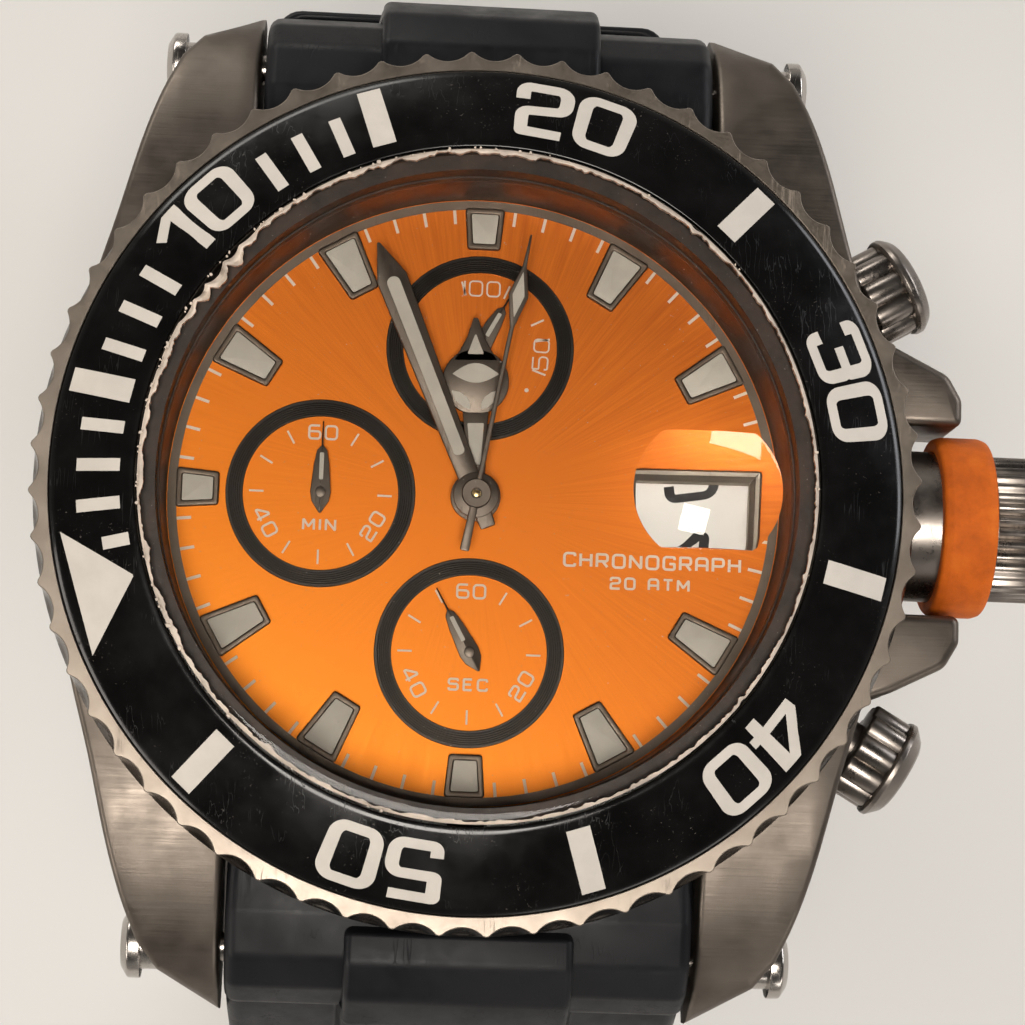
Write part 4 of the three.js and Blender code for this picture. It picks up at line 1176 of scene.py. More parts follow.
pr = []
for m in range(60):
    if m % 5 == 0:
        continue
    pr.append(dash(flat(0, 0, 6 * m), 0, 15.7, 0, 16.5, 0.17))
pr.append(dash(flat(0, 0, 92.2), 0, 16.35, 0, 17.0, 0.75))
for t, cx, cy, h, sw in (("MIN", -8.55, -1.75, 0.72, 0.13), ("SEC", 0.0, -10.3, 0.72, 0.13)):
    pr.append(numerals(t, h, sw, sw, 0.28 * h, flat(cx, cy), 0.012))
pr.append(numerals("CHRONOGRAPH", 0.84, 0.14, 0.155, 0.165, flat(10.0, -3.12, 0), 0.012))
pr.append(numerals("20 ATM", 0.72, 0.13, 0.14, 0.17, flat(9.9, -4.35, 0), 0.012))
mesh("dial_print", joined(*pr), INK_D, smooth=30, fix=False)

# sub-dial rings with fine turned grooves, and their numbers
for k, (cx, cy) in SUBS.items():
    prof = [(4.3, 8.3), (4.3, 8.43), (4.33, 8.46)]
    r = 4.42
    while r < 5.14:
        prof += [(r, 8.46), (r + 0.03, 8.435), (r + 0.06, 8.46)]
        r += 0.12
    prof += [(5.22, 8.46), (5.25, 8.43), (5.25, 8.3)]
    v, f = lathe_data(prof, 128)
    mesh("subdial_ring_grooved_" + k, ([(x + cx, y + cy, z) for x, y, z in v], f), DARK_RING, smooth=20, replaces=("subdial_ring_" + k,))
    q = []
    def num(t, cw, h=0.86, sw=0.125, rr=3.42, flip=False, z=DIAL):
        x, y = clockpos(cw, rr)
        return numerals(t, h, sw, sw, 0.2 * h, flat(cx + x, cy + y, cw + (180 if flip else 0), z), 0.012)
    def tick(cw, r0=3.15, r1=3.95, w_=0.11):
        return dash(flat(cx, cy, cw), 0, r0, 0, r1, w_)
    if k == "12":
        q.append(num("100", 0, 0.92, 0.09))
        q.append(num("50", 93, 0.92, 0.09, flip=True))
        q += [tick(a) for a in (-17, 23, 63, 80, 110)]
        x, y = clockpos(130, 3.5)
        q.append(prism_data([(cx + x + 0.12 * math.cos(i * PI / 6), cy + y + 0.12 * math.sin(i * PI / 6)) for i in range(12)], 8.304, 8.316))
    else:
        q.append(num("60", 0))
        q.append(num("20", 120, flip=True))
        q.append(num("40", 240, flip=True))
        q += [tick(a) for a in (30, 60, 90, 150, 180, 210, 270, 300, 330)]
    mesh("subdial_numbers_" + k, joined(*q), INK_D, smooth=30, fix=False)

# applied markers
fr, lu = [], []
fr.append(lathe_data([(16.5, 8.3), (16.99, 8.3), (16.99, 8.37), (16.5, 8.37)], 200))
for h in range(1, 13):
    if h == 3:
        continue
    short = h in (12, 6, 9)
    r0, w1, w0 = (14.15, 1.12, 0.92) if short else (13.1, 1.27, 0.86)
    quad = [(-w0, r0), (w0, r0), (w1, 16.5), (-w1, 16.5)]
    inn = inset(quad, 0.33)
    o_ = fillet_c(quad, 0.18, 4)
    i_ = fillet_c(inn, 0.10, 4)
    fr.append(turned(rframe(o_, i_, 8.3, 8.70, 0.09, 3), 30 * h))
    lu.append(turned(rprism(i_, 8.32, 8.66, 0.03, 0.0, 2), 30 * h))
mesh("hour_marker_frames", joined(*fr), FRAME_M, smooth=30, replaces=("hour_markers",))
mesh("hour_marker_lume", joined(*lu), LUME, smooth=30)

# ------------------------------------------------------------------ date
dx, dw, dh = 12.55, 3.5 / 2, 2.7 / 2
o_ = fillet_c([(dx - dw - .35, -dh - .35), (dx + dw + .35, -dh - .35), (dx + dw + .35, dh + .35), (dx - dw - .35, dh + .35)], 0.12, 3)
i_ = fillet_c([(dx - dw, -dh), (dx + dw, -dh), (dx + dw, dh), (dx - dw, dh)], 0.05, 3)
L = [[(x, y, 8.31) for x, y in o_], [(x, y, 8.44) for x, y in o_], [(x, y, 8.49) for x, y in inset(o_, 0.05)], [(x, y, 8.49) for x, y in inset(o_, 0.17)],
     [(x, y, 8.31) for x, y in i_], [(x, y, 8.0) for x, y in inset(i_, 0.04)], [(x, y, 7.95) for x, y in inset(i_, -0.02)]]
mesh("date_frame_bevelled", loops_solid(L, closed=True), DATEFRAME, smooth=20, replaces=("date_frame",))
lathe("date_wheel_white", [(10.9, 7.12), (15.3, 7.12), (15.3, 7.42), (10.9, 7.42)], DATEWHITE, 180, r=0.04, body="date_ring", replaces=("date_wheel",))
q = []
for n_ in range(1, 32):
    a = 8.1 - (n_ - 3) * 360 / 31
    t = str(n_)
    x, y = 12.75 * math.cos(rad(a)), 12.75 * math.sin(rad(a))
    q.append(numerals(t, 1.75, 0.24, 0.28, 0.2, flat(x, y, -a, 7.42), 0.01, 1.0 if len(t) == 1 else 0.78))
mesh("date_numbers", joined(*q), BLACKINK, "date_ring", smooth=30, fix=False)


# ------------------------------------------------------------------ hands
def disc(r, z0, z1, n=48, x=0, y=0, b=0.04):
    return rprism([(x + r * math.cos(2 * PI * i / n), y + r * math.sin(2 * PI * i / n)) for i in range(n)], z0, z1, b, 0.02, 2)


def sector(cx, cy, r0, r1, a0, a1, n=14, gap=0.0):
    p = [(cx + r1 * math.cos(rad(a0 + (a1 - a0) * i / n)), cy + r1 * math.sin(rad(a0 + (a1 - a0) * i / n))) for i in range(n + 1)]
    am = rad((a0 + a1) / 2)
    p.append((cx + r0 * math.cos(am), cy + r0 * math.sin(am)))
    return p


def hand_pair(name, metal_parts, lume_parts, cw, body, nodes, centre=(0, 0, 0), mat=None):
    mesh(name, turned(joined(*metal_parts), cw, centre), mat or DARK, body, smooth=28, replaces=nodes)
    if lume_parts:
        mesh(name + "_lume", turned(joined(*lume_parts), cw, centre), LUME, body, smooth=28)


# hour
hub = mirror_outline([(0.46, -1.0), (0.50, 0.5), (0.60, 3.2), (0.72, 4.75)])
tip = fillet(mirror_outline([(1.30, 7.6), (0.90, 8.15), (0.46, 9.0), (0.13, 10.05)]), [0.05, 0.5, 0.6, 0.12, 0.12, 0.6, 0.5, 0.05], 4)
ring_o = [(1.85 * math.cos(2 * PI * i / 64), 6.45 + 1.85 * math.sin(2 * PI * i / 64)) for i in range(64)]
hour_metal = [rprism(hub, 9.4, 9.6, 0.06, 0.02, 2), rprism(tip, 9.4, 9.6, 0.06, 0.02, 2), rprism(ring_o, 9.4, 9.6, 0.06, 0.02, 2), disc(1.38, 9.4, 9.7)]
almond = [(-1.3 + 2.6 * i / 14, 6.86 - 0.50 * math.sin(PI * i / 14)) for i in range(15)] + [(1.3 - 2.6 * i / 14, 6.86 + 0.62 * math.sin(PI * i / 14)) for i in range(1, 14)]
wing = [(-1.40, 5.98), (-0.85, 5.84), (-0.50, 5.58), (-0.29, 5.2), (-0.29, 4.84), (-0.65, 4.98), (-1.12, 5.36)]
hl = [rprism(almond, 9.55, 9.612, 0.012, 0, 1),
      rprism(fillet(wing[::-1], 0.08, 3), 9.55, 9.612, 0.012, 0, 1),
      rprism(fillet([(-x, y) for x, y in wing], 0.08, 3), 9.55, 9.612, 0.012, 0, 1),
      rprism(fillet(mirror_outline([(0.28, 1.78), (0.46, 4.1)]), 0.06, 3), 9.55, 9.612, 0.012, 0, 1),
      rprism(fillet([(-0.46, 7.98), (0.46, 7.98), (0.0, 9.2)], 0.06, 3), 9.55, 9.612, 0.012, 0, 1)]
hand_pair("hour_hand_dark", hour_metal, hl, -2.0, "hour", ("hour_hand",))

# minute
mo = fillet(mirror_outline([(0.42, -1.9), (0.56, 0.0), (0.62, 2.4), (0.87, 13.0), (0.0, 15.33)]), [0.1, 0.3, 1.5, 0.25, 0.1, 0.25, 1.5, 0.3, 0.1], 4)
mlu = fillet([(-0.32, 2.4), (0.32, 2.4), (0.38, 13.05), (-0.38, 13.05)], [0.26, 0.26, 0.36, 0.36], 5)
hand_pair("minute_hand_dark", [rprism(mo, 10.0, 10.2, 0.07, 0.02, 2), disc(1.25, 10.0, 10.3)], [rprism(mlu, 10.14, 10.213, 0.012, 0, 1)], -23.1, "minute", ("minute_hand",))

# chronograph seconds
so = fillet(mirror_outline([(0.26, -3.22), (0.20, -0.4), (0.14, 1.2), (0.12, 9.5), (0.56, 11.3), (0.12, 13.0), (0.05, 14.83)]), [0.1, 0.5, 1, 0.4, 0.15, 0.4, 0.02, 0.02, 0.4, 0.15, 0.4, 1, 0.5, 0.1], 3)
slu = fillet([(0.0, 10.0), (0.34, 11.3), (0.0, 12.7), (-0.34, 11.3)], [0.02, 0.08, 0.02, 0.08], 3)
hub_ring = lathe_data([(0.26, 10.70), (0.80, 10.70), (0.80, 10.90), (0.76, 10.95), (0.30, 10.95), (0.26, 10.92)], 48)
pin = disc(0.2, 10.72, 10.88, 20)
hand_pair("chrono_seconds_hand_dark", [rprism(so, 10.7, 10.84, 0.05, 0.02, 2), hub_ring], [rprism(slu, 10.8, 10.853, 0.01, 0, 1)], 9.8, "chrono_seconds", ("chrono_seconds_hand",))
mesh("chrono_arbor_end", pin, BRASS_M, "chrono_seconds")

# sub-dial hands
for k, nme, a, bd, node in (("6", "small_seconds", -29, "small_seconds", "small_seconds_hand"), ("9", "minute_counter", 0, "minute_counter", "minute_counter_hand"), ("12", "fraction_counter", 28, "fraction_counter", "fraction_counter_hand")):
    o_ = fillet(mirror_outline([(0.05, -1.16), (0.48, -0.5), (0.57, 0.0), (0.42, 1.6), (0.28, 2.35), (0.05, 2.6), (0.03, 3.98)]), [0.02, 0.2, 0.3, 0.3, 0.2, 0.1, 0, 0, 0.1, 0.2, 0.3, 0.3, 0.2, 0.02], 3)
    l_ = fillet([(-0.12, 0.7), (0.12, 0.7), (0.12, 2.2), (-0.12, 2.2)], 0.05, 2)
    hand_pair(nme + "_hand_dark", [rprism(o_, 8.75, 8.89, 0.05, 0.02, 2), disc(0.3, 8.75, 8.97, 32)], [rprism(l_, 8.85, 8.902, 0.01, 0, 1)], a, bd, (node,), (SUBS[k][0], SUBS[k][1], 0))


# ------------------------------------------------------------------ case
def catmull(pts, k, closed=False):
    out = []
    n_ = len(pts)
    P = [Vector(p) for p in pts]
    for i in range(n_ if closed else n_ - 1):
        p0 = P[(i - 1) % n_] if closed or i else P[0] * 2 - P[1]
        p1, p2 = P[i], P[(i + 1) % n_]
        p3 = P[(i + 2) % n_] if closed or i + 2 < n_ else p2 * 2 - p1
        for j in range(k):
            t = j / k
            out.append(tuple(0.5 * ((2 * p1) + (p2 - p0) * t + (2 * p0 - 5 * p1 + 4 * p2 - p3) * t * t + (3 * p1 - p0 - 3 * p2 + p3) * t ** 3)))
    if not closed:
        out.append(tuple(P[-1]))
    return out


QF = [(22.6, 0), (22.5, 4.5), (21.9, 9.5), (20.4, 15.0), (19.3, 19.5), (18.4, 22.5), (17.45, 24.9)]
qf = [p for p in catmull([(22.5, -4.5)] + QF, 5)][5:]
tipq = fillet([(17.45, 24.9), (16.35, 26.35), (13.0, 28.5)], [0, 0.4, 0], 6, False)[1:]
quarter = qf + tipq                                  # from (22.6, 0) to the inner corner of the lug tip
arc_ = [(21.4 * math.sin(t), 21.4 * math.cos(t)) for t in [math.asin(13 / 21.4) * (1 - i / 24) for i in range(25)]]
inner_wall = [(13.0, 28.5 - (28.5 - arc_[0][1]) * i / 8) for i in range(1, 8)]
q1 = quarter + inner_wall + arc_                      # right, upper: ends at (0, 21.4)
left = [(-x, y) for x, y in reversed(q1[:-1])]
upper = q1 + left                                     # to (-22.6, 0)
lower = [(x, -y) for x, y in reversed(upper[1:-1])]
plan = upper + lower
_top = catmull([(12, 10.3), (15.5, 10.3), (19.5, 9.75), (23, 8.75), (26, 7.2), (27.6, 5.5), (28.5, 3.6)], 8)


def ztop(y):
    y = abs(y)
    if y <= 12:
        return 10.3
    for (a, b), (c, d) in zip(_top, _top[1:]):
        if a <= y <= c:
            return b + (d - b) * (y - a) / (c - a)
    return 3.3


def zbot(y):
    y = abs(y)
    return 1.0 if y < 20 else (1.0 - 0.15 * (y - 20) / 4.5 if y < 24.5 else 0.85 + max(0.0, y - 27.4) * 0.6)


def case_body():
    from mathutils.geometry import delaunay_2d_cdt
    b, n_ = 0.34, 4
    loops = []
    ins = [inset(plan, b * (1 - math.cos(PI / 2 * i / n_))) for i in range(n_ + 1)]
    for i in range(n_, -1, -1):
        t = PI / 2 * i / n_
        loops.append([(x, y, zbot(y) + b * (1 - math.sin(t))) for x, y in ins[i]])
    for i in range(n_ + 1):
        t = PI / 2 * i / n_
        loops.append([(x, y, ztop(y) - b * (1 - math.sin(t))) for x, y in ins[i]])
    V, F = loops_solid(loops, cap=False)
    m = len(plan)
    bore = [(18.6 * math.cos(2 * PI * i / 144), 18.6 * math.sin(2 * PI * i / 144)) for i in range(144)]
    for zf, base, flip in ((ztop, len(loops) - 1, False), (zbot, 0, True)):
        rim = [(p[0], p[1]) for p in loops[base]]
        pts = list(rim) + bore
        edges = [(i, (i + 1) % m) for i in range(m)] + [(m + i, m + (i + 1) % 144) for i in range(144)]
        # extra points inside the lugs and shoulders so that the top stays curved
        ext = []
        y = -28.5
        while y <= 28.5:
            for x in (-20.5, -18.8, -17.2, -16.0, -15.0, -14.2, 14.2, 15.0, 16.0, 17.2, 18.8, 20.5):
                if inside((x, y), rim, 0.25) and math.hypot(x, y) > 18.9:
                    ext.append((x, y))
            y += 0.75
        pts += ext
        res = delaunay_2d_cdt([Vector(p) for p in pts], edges, [], 0, 1e-5)
        vs, fs = res[0], res[2]
        k = len(V)
        V += [(p.x, p.y, zf(p.y)) for p in vs]
        for t in fs:
            c = sum((vs[j] for j in t), Vector((0, 0))) / len(t)
            if math.hypot(c.x, c.y) > 18.59 and inside((c.x, c.y), rim, 0):
                F.append(tuple(k + j for j in (t if not flip else reversed(t))))
    k = len(V)
    V += [(x, y, 1.0) for x, y in bore] + [(x, y, 10.3) for x, y in bore]
    F += [(k + i, k + (i + 1) % 144, k + 144 + (i + 1) % 144, k + 144 + i) for i in range(144)]
    return V, F


def inside(p, poly, margin):
    x, y = p
    c = False
    m = len(poly)
    for i in range(m):
        x1, y1 = poly[i]; x2, y2 = poly[(i + 1) % m]
        if (y1 > y) != (y2 > y) and x < (x2 - x1) * (y - y1) / (y2 - y1) + x1:
            c = not c
        if margin:
            dx_, dy_ = x2 - x1, y2 - y1
            l2 = dx_ * dx_ + dy_ * dy_
            t = max(0, min(1, ((x - x1) * dx_ + (y - y1) * dy_) / l2)) if l2 > 0 else 0
            if math.hypot(x - x1 - t * dx_, y - y1 - t * dy_) < margin:
                return False
    return c


CASE = mesh("case_body_brushed", case_body(), STEEL_BR, smooth=30, replaces=("case_middle",))
cut = []
for s in (1, -1):
    for sx in (1, -1):
        v, f = cyl_data(2.12, 17.25, 22, 40)
        M = Matrix.Translation((0, s * LUG_Y, STEM_Z)) @ (ALONG_X if sx > 0 else Matrix.Rotation(PI, 4, "Z") @ ALONG_X)
        cut.append(temp("c", [tuple(M @ Vector(p)) for p in v], f))
    v, f = cyl_data(3.55, 23.45, 32, 56)
    M = Matrix.Rotation(rad(30 * s), 4, "Z") @ CROWN_M
    cut.append(temp("c", [tuple(M @ Vector(p)) for p in v], f))
    # holes for the button tubes
    cut.append(temp("c", *moved(cyl_data(1.92, 17.0, 24.5, 40), M)))
cut.append(temp("c", *moved(cyl_data(2.22, 17.0, 23.6, 40), CROWN_M)))
boolean(CASE, cut)
CASE.data.shade_smooth(); CASE.data.set_sharp_from_angle(angle=rad(30))

gp = [(20.5, 5.35), (27.4, 5.35), (27.4, 6.9), (26.6, 8.3), (23.6, 9.8), (20.5, 10.8)]
gl = fillet(gp, [0, 0.5, 0.8, 1.2, 1.5, 0], 6)
GU = mesh("crown_guards", joined(rprism(gl, 1.9, 8.1, 0.5, 0.4, 4), rprism([(x, -y) for x, y in reversed(gl)], 1.9, 8.1, 0.5, 0.4, 4)), STEEL_BR, smooth=30)
cut = []
for s in (1, -1):
    v, f = cyl_data(3.55, 23.45, 32, 56)
    M = Matrix.Rotation(rad(30 * s), 4, "Z") @ CROWN_M
    cut.append(temp("c", [tuple(M @ Vector(p)) for p in v], f))
boolean(GU, cut)
GU.data.shade_smooth(); GU.data.set_sharp_from_angle(angle=rad(30))
# case neck in the dark brown of the gap: painted shade
lathe("case_neck", [(17.5, 9.95), (18.61, 9.95), (18.61, 10.31), (18.05, 10.31), (18.05, 14.24), (17.99, 14.3), (17.68, 14.3), (17.62, 14.24), (17.62, 12.9), (17.15, 12.9), (17.15, 12.2), (17.5, 12.2)], NECK_M, 200, smooth=30)

# case back with six wrench notches and turned rings
prof = [(0, 0.0), (6.0, 0.0), (6.05, 0.05), (6.25, 0.05), (6.3, 0.0), (13.4, 0.0), (13.45, 0.06), (13.75, 0.06), (13.8, 0.0), (15.75, 0.0), (15.85, 0.03), (16.55, 0.42), (16.65, 0.45), (19.84, 0.45), (19.9, 0.5),
        (19.9, 0.95), (18.5, 0.95), (18.5, 2.1), (17.4, 2.1), (17.4, 1.5), (0, 1.5)]
v, f = lathe_data(prof, 192, closed=False)
BACK = mesh("case_back_turned", (v, f), STEEL_BRZ, smooth=25, replaces=("case_back",))
boolean(BACK, [temp("c", *moved(box_data(17.4, 20.5, -1.3, 1.3, -0.2, 0.72), Matrix.Rotation(rad(60 * i + 30), 4, "Z"))) for i in range(6)])
BACK.data.shade_smooth(); BACK.data.set_sharp_from_angle(angle=rad(25))


# ------------------------------------------------------------------ crown
def gear(r1, r0, n_, k=10, sharp=1.0):
    p = []
    for i in range(n_ * k):
        u = (i % k) / k
        c = (0.5 + 0.5 * math.cos(2 * PI * u)) ** sharp
        a = 2 * PI * i / (n_ * k)
        r = r0 + (r1 - r0) * c
        p.append((r * math.cos(a), r * math.sin(a)))
    return p


def in_crown(vf, M=CROWN_M):
    return moved(vf, M)


body_p = fillet([(0, 25.9), (1.2, 25.9), (1.2, 25.6), (2.4, 25.6), (2.4, 24.2), (4.3, 24.2), (4.3, 29.3), (0, 29.3)], [0, 0, 0, 0, .05, .2, 0, 0], 3)
cap_p = fillet([(0, 32.5), (3.86, 32.5), (3.55, 32.95), (3.2, 33.1), (0, 33.1)], [0, 0.05, 0.2, 0.2, 0], 3)
# crown body in the darker steel: painted shade
CR = mesh("crown_body", in_crown(joined(lathe_data(body_p, 96, closed=False), lathe_data(cap_p, 96, closed=False), rprism(gear(4.15, 3.87, 36, 8, 0.7), 29.25, 32.6, 0.18, 0.12, 2))), STEEL_CR, "crown_turn", smooth=30, replaces=("crown",))
og = fillet([(4.33, 26.1), (5.0, 26.1), (5.15, 26.6), (5.15, 28.65), (4.98, 29.15), (4.33, 29.15)], [0, .28, .5, .5, .28, 0], 5)
mesh("crown_grip_orange", in_crown(lathe_data(og, 128)), ORANGE_RUB, "crown_turn", smooth=40, replaces=("crown_grip_ring",))
mesh("crown_tube_turned", in_crown(lathe_data(fillet([(1.0, 18.9), (2.2, 18.9), (2.2, 24.9), (1.0, 24.9)], .1, 2), 48)), STEEL_PO, smooth=30, replaces=("crown_tube",))

# ------------------------------------------------------------------ push buttons
for nme, s, bd in (("upper", 1, "button_up"), ("lower", -1, "button_low")):
    M = Matrix.Rotation(rad(30 * s), 4, "Z") @ CROWN_M
    mesh("button_tube_turned_" + nme, in_crown(lathe_data(fillet([(1.5, 19.2), (1.9, 19.2), (1.9, 23.5), (2.5, 23.5), (2.5, 23.8), (1.5, 23.8)], [0, 0, 0, .05, .08, 0], 3), 64), M), DARK, smooth=30, replaces=("button_tube_" + nme,))
    barrel = rprism(gear(2.78, 2.42, 10, 16, 0.4), 25.3, 27.62, 0.16, 0.2, 3)
    if s > 0:
        capp = fillet([(0, 27.5), (2.85, 27.5), (2.96, 27.7), (2.96, 28.0), (2.5, 28.6), (1.2, 28.7), (0, 28.7)], [0, .08, .1, .35, .6, .8, 0], 5)
    else:
        capp = fillet([(0, 27.5), (2.85, 27.5), (2.92, 27.65), (2.92, 27.9), (2.3, 28.5), (2.0, 28.64), (0, 28.64)], [0, .05, .05, .08, .08, .1, 0], 3)
    stem = lathe_data([(0, 18.95), (0.6, 18.95), (0.6, 24.8), (1.35, 24.8), (1.35, 25.4), (0, 25.4)], 32, closed=False)
    mesh("button_fluted_" + nme, in_crown(joined(barrel, lathe_data(capp, 96, closed=False), stem), M), STEEL_CR, bd, smooth=32, replaces=("button_" + nme,))

# ------------------------------------------------------------------ strap bars and screws
for nme, s in (("12", 1), ("6", -1)):
    head = [(0, 18.45), (1.1, 18.45), (1.9, 18.1), (1.9, 17.35), (1.4, 17.35)]
    hp = fillet([(1.4, 16.0), (1.4, 17.35), (1.9, 17.35), (1.9, 18.05), (1.3, 18.43), (0, 18.45)], [0, 0, .05, .22, .3, 0], 4)
    scr = [(0, 14.25), (0.85, 14.25), (0.85, 14.95), (1.4, 14.95)] + hp[0:1] + hp[1:]
    M = Matrix.Translation((0, s * LUG_Y, STEM_Z)) @ ALONG_X
    S = mesh("strap_screw_polished_" + nme, moved(lathe_data(scr, 64, closed=False), M), STEEL_PO, smooth=30, replaces=("strap_screw_" + nme,))
    barp = [(0, -14.2), (0.85, -14.2), (0.85, 15.0), (1.4, 15.0)] + hp[0:1] + hp[1:]
    Mb = Matrix.Translation((0, s * LUG_Y, STEM_Z)) @ Matrix.Rotation(PI, 4, "Z") @ ALONG_X
    B = mesh("strap_bar_polished_" + nme, moved(lathe_data(barp, 64, closed=False), Mb), STEEL_PO, smooth=30, replaces=("strap_bar_" + nme,))
    boolean(S, [temp("c", *moved(box_data(-0.28, 0.28, -2.4, 2.4, 18.12, 19), M))])
    boolean(B, [temp("c", *moved(box_data(-0.28, 0.28, -2.4, 2.4, 18.12, 19), Mb))])
    for o in (S, B):
        o.data.shade_smooth(); o.data.set_sharp_from_angle(angle=rad(30))


# ------------------------------------------------------------------ strap
def path(h0, h1, L1, r2, flat_):
    return dict(h0=h0, h1=h1, L1=L1, r2=r2, corner=L1 + rad(180 - h1) * r2)


def station(P, s):
    y = z = 0.0
    h = rad(P["h0"])
    n_ = max(2, math.ceil(abs(s) / 0.25))
    ds = s / n_
    for i in range(n_):
        m = (i + 0.5) * ds
        if m < 0: h = rad(P["h0"])
        elif m < P["L1"]: h = rad(P["h0"] + (P["h1"] - P["h0"]) * m / P["L1"])
        elif m < P["corner"]: h = rad(P["h1"]) + (m - P["L1"]) / P["r2"]
        else: h = PI
        y += math.cos(h) * ds
        z -= math.sin(h) * ds
    return y, z, h


P12, P6 = path(66, 96, 49.5, 14, 16), path(60, 93, 47.6, 16, 22)


def section(s, end=1.0):
    w_ = (12.7 + (11.0 - 12.7) * min(1, max(0, (s - 4) / 50))) * end
    k = min(1, max(0, (s - 2) / 50))
    to, ti = 1.9 + 0.3 * (1 - k) - 0.15 * k, -(1.9 + 0.4 * (1 - k) - 0.2 * k)
    fade = 1 - min(1, max(0, (s - 14) / 19))
    fade = fade * fade * (3 - 2 * fade)
    rh = to + 1.3 * fade + 0.02
    rw = min(6.2, w_ - 1.2)
    return fillet_c([(-w_, ti), (w_, ti), (w_, to), (rw + 0.35, to), (rw, rh), (-rw, rh), (-rw - 0.35, to), (-w_, to)],
                    [0.8, 0.8, 0.9, 0.3 * fade + .01, 0.45 * fade + .01, 0.45 * fade + .01, 0.3 * fade + .01, 0.9], 5)


def strap_frame(P, s, side):
    y, z, h = station(P, s)
    t = Vector((0, side * math.cos(h), -math.sin(h)))
    n_ = Vector((0, side * math.sin(h), math.cos(h)))
    x = t.cross(n_)
    M = Matrix.Identity(4)
    for i, a in enumerate((x, t, n_)):
        for j in range(3):
            M[j][i] = a[j]
    M.translation = Vector((0, side * (LUG_Y + y), STEM_Z + z))
    return M


def strap_sweep(P, stations, side, endf):
    loops = []
    for s in stations:
        M = strap_frame(P, s, side)
        sgn = 1 if M.to_3x3().determinant() > 0 else 1
        loops.append([tuple(M @ Vector((x * (1 if side > 0 else 1), 0, n_))) for x, n_ in section(s, endf(s))])
    return loops_solid(loops)


def end_block(side):
    prof = fillet([(-6.2, 4.35), (-2.0, 4.35), (0.5, 3.8), (2.1, 2.4), (3.1, 0.4), (2.2, -2.0), (0, -2.9), (-2.4, -2.6), (-6.2, -1.2)], [0, 1.5, 1.5, 1.2, 1.2, 1.0, 1, 1, 0], 5)
    rid = fillet([(-1.35, 4.3), (-1.0, 5.0), (0.6, 5.0), (2.6, 3.9), (4.2, 1.2), (3.0, -1.0), (0, 0), (-1.35, 2)], [0.1, 0.35, 1.2, 1.5, 1.0, .5, .5, 0], 5)
    out = []
    for p, hw, b in ((prof, 12.7, 0.7), (rid, 6.2, 0.45)):
        v, f = rprism(p, -hw, hw, b, None, 4)
        out.append(([(z, side * (LUG_Y + x), STEM_Z + y) for x, y, z in v], f))
    return out


def strap_half(name, P, stations, side, endf, body, node, extra_cut, extra_add):
    S = temp(name, *strap_sweep(P, stations, side, endf))
    block, ridge = end_block(side)
    boolean(S, [temp("b", *block)] + extra_add, "UNION")
    mesh(name + "_ridge_end", ridge, STRAP_M, body, smooth=38)
    cyl = temp("c", *cyl_data(23.78, -4, 14, 160))
    hole = temp("c", *moved(cyl_data(0.97, -14, 14, 32), Matrix.Translation((0, side * LUG_Y, STEM_Z)) @ ALONG_X))
    boolean(S, [cyl, hole] + extra_cut)
    S.data.materials.clear()
    S.data.materials.append(STRAP_M)
    S.data.shade_smooth(); S.data.set_sharp_from_angle(angle=rad(38))
    S.name = name
    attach(S, body)
    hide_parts(node)
    return S


def rrect(x0, x1, y0, y1, r, n_=6):
    return fillet_c([(x0, y0), (x1, y0), (x1, y1), (x0, y1)], r, n_)


def keeper_loop(M, o_, i_, half_, b):
    """Loop around the strap: outlines in the plane across it, half_ is half its length along it."""
    v, f = rframe(o_, i_, -half_, half_, b, 3)
    T = Matrix(((1, 0, 0, 0), (0, 0, 1, 0), (0, 1, 0, 0), (0, 0, 0, 1)))
    return moved(moved((v, f), T), M)


def slot_cut(M, hx, hy, r):
    v, f = prism_data(fillet([(-hx, -hy), (hx, -hy), (hx, hy), (-hx, hy)], r, 5), -5, 5)
    return temp("c", *moved((v, f), M))


st12 = [0.6] + [1.6 + 1.4 * i for i in range(50)] + [72.0]
st12 = [s for s in st12 if s <= 72.0]
A12 = strap_frame(P12, 70.2, 1)
K = strap_frame(P12, 44, 1)
fixed = temp("k", *keeper_loop(K, rrect(-13.7, 13.7, -2.6, 6.1, 1.6), rrect(-12.3, 12.3, 0.5, 5.1, 0.9), 2.6, 0.45))
cut12 = [temp("c", *moved(cyl_data(0.95, -14, 14, 32), A12 @ ALONG_X)), temp("c", *moved(box_data(-1.7, 1.7, -2.6, 4, -3, 3), A12))]
strap_half("strap_buckle_half_moulded", P12, st12, 1, lambda s: 1.0, "strap_12", "strap_buckle_half", cut12, [fixed])
K2 = strap_frame(P12, 37, 1)
mesh("sliding_keeper_moulded", keeper_loop(K2, rrect(-13.7, 13.7, -3.3, 6.4, 1.7), rrect(-12.7, 12.7, -2.5, 5.7, 1.0), 2.4, 0.35), STRAP_M, "keeper", smooth=35, replaces=("sliding_keeper",))

st6 = [0.6] + [1.6 + 1.4 * i for i in range(62)] + [88.0, 89, 90, 90.8, 91.4, 91.8, 92.0]
cut6 = [slot_cut(strap_frame(P6, h, -1), 1.7, 1.1, 0.9) for h in (52, 58, 64, 70, 76, 82)]


def tail(s):
    t = max(0.0, (s - 84) / 8)
    return 1 - 0.40 * t ** 2.4


strap_half("strap_hole_half_moulded", P6, st6, -1, tail, "strap_6", "strap_hole_half", cut6, [])

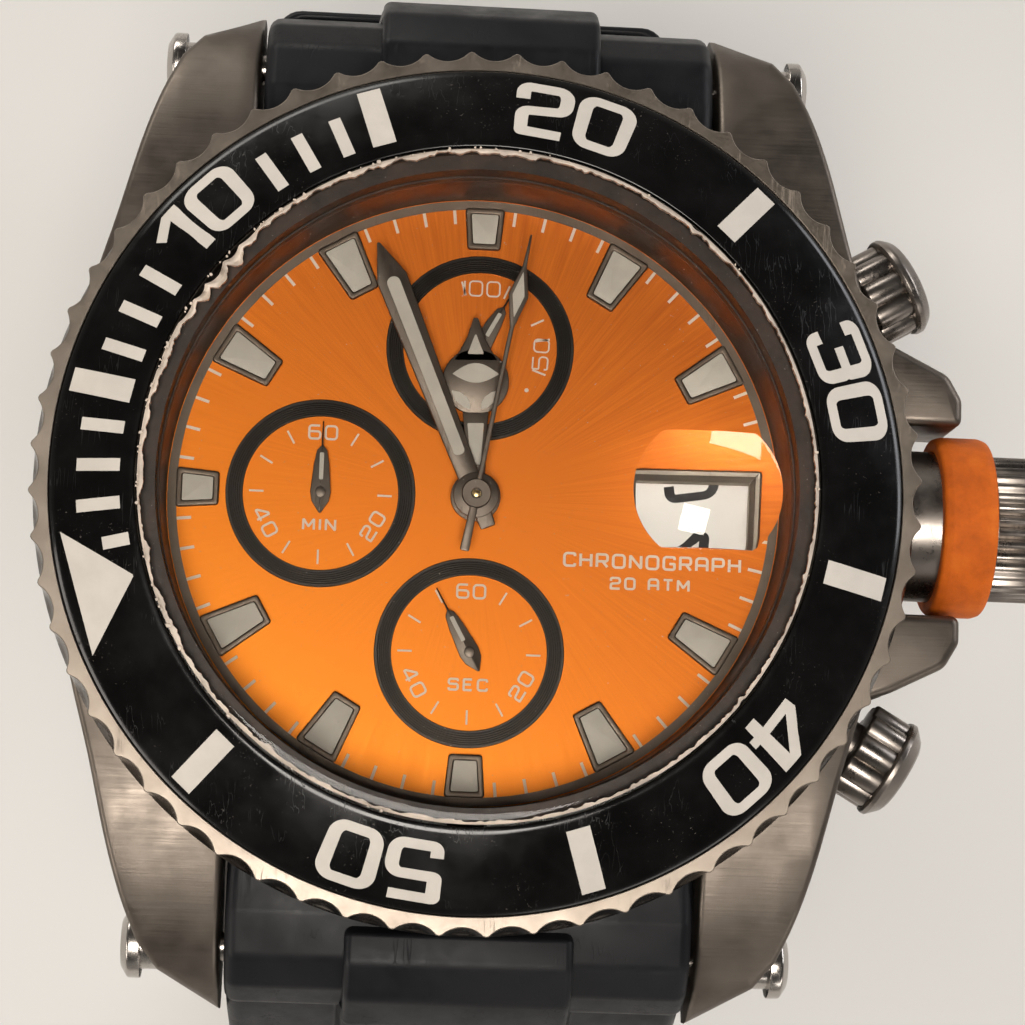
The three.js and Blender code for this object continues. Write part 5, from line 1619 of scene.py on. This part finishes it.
# buckle, pin and tongue
uo = fillet([(-14.2, -2), (-11.4, -2), (-11.4, 9.8), (11.4, 9.8), (11.4, -2), (14.2, -2), (14.2, 13), (-14.2, 13)], [1.2, 1.2, 1.4, 1.4, 1.2, 1.2, 3.2, 3.2], 8)
v, f = rprism(uo, -1.75, 1.75, 0.7, None, 5)
vv = []
for x, y, z in v:
    k = min(1, max(0, (y - 8.4) / 1.6)); k = k * k * (3 - 2 * k)
    if z > -1.0:
        z = z * (1 - k) + ((z + 1.75) * (1.95 / 3.5) - 1.75) * k
    vv.append((x, y, z))
mesh("buckle_frame_polished", moved((vv, f), A12), STEEL_PO, "buckle", smooth=30, replaces=("buckle_frame",))
mesh("buckle_pin_turned", moved(lathe_data(fillet([(0, -13.6), (0.8, -13.6), (0.8, 13.6), (0, 13.6)], [0, .3, .3, 0], 3), 40, closed=False), A12 @ ALONG_X), STEEL_PO, "strap_12", smooth=30, replaces=("buckle_pin",))
tp = fillet([(1.2, -0.5), (3.0, 0.35), (12.9, 0.35), (12.9, 0.9), (10, 1.65), (3.0, 1.65), (0.9, 1.3)], [0, 1.5, .15, .2, 2.5, 1.5, 0], 5)
v, f = rprism(tp, -1.2, 1.2, 0.3, None, 3)
tv = [(z, x, y) for x, y, z in v]
eye = lathe_data(fillet([(0.9, -1.3), (1.75, -1.3), (1.75, 1.3), (0.9, 1.3)], [0, .25, .25, 0], 3), 40)
mesh("buckle_tongue_polished", moved(joined((tv, f), moved(eye, ALONG_X)), A12), STEEL_PO, "tongue", smooth=30, replaces=("buckle_tongue",))

# ------------------------------------------------------------------ finishes on the pieces kept from the frame
KEEP = {
    "case_back_gasket": SEAL, "crown_gasket": SEAL, "movement_holder": HOLDER, "main_plate": BRASS_M, "train_bridge": BACKSTEEL, "circuit_board": BOARD,
    "battery": BACKSTEEL, "drive_coil": COIL_M, "coil_core": BACKSTEEL, "quartz_can": BACKSTEEL, "hour_wheel": BRASS_M, "cannon_pinion": BRASS_M, "chrono_wheel": BRASS_M,
    "small_seconds_wheel": BRASS_M, "minute_counter_wheel": BRASS_M, "fraction_counter_wheel": BRASS_M, "bezel_retaining_wire": BACKSTEEL, "bezel_click_spring": BACKSTEEL,
    "winding_stem": BACKSTEEL, "button_spring_upper": BACKSTEEL, "button_spring_lower": BACKSTEEL,
}
for nme, mt in KEEP.items():
    me = frame["nodes"][nme].data
    me.materials.clear()
    me.materials.append(mt)
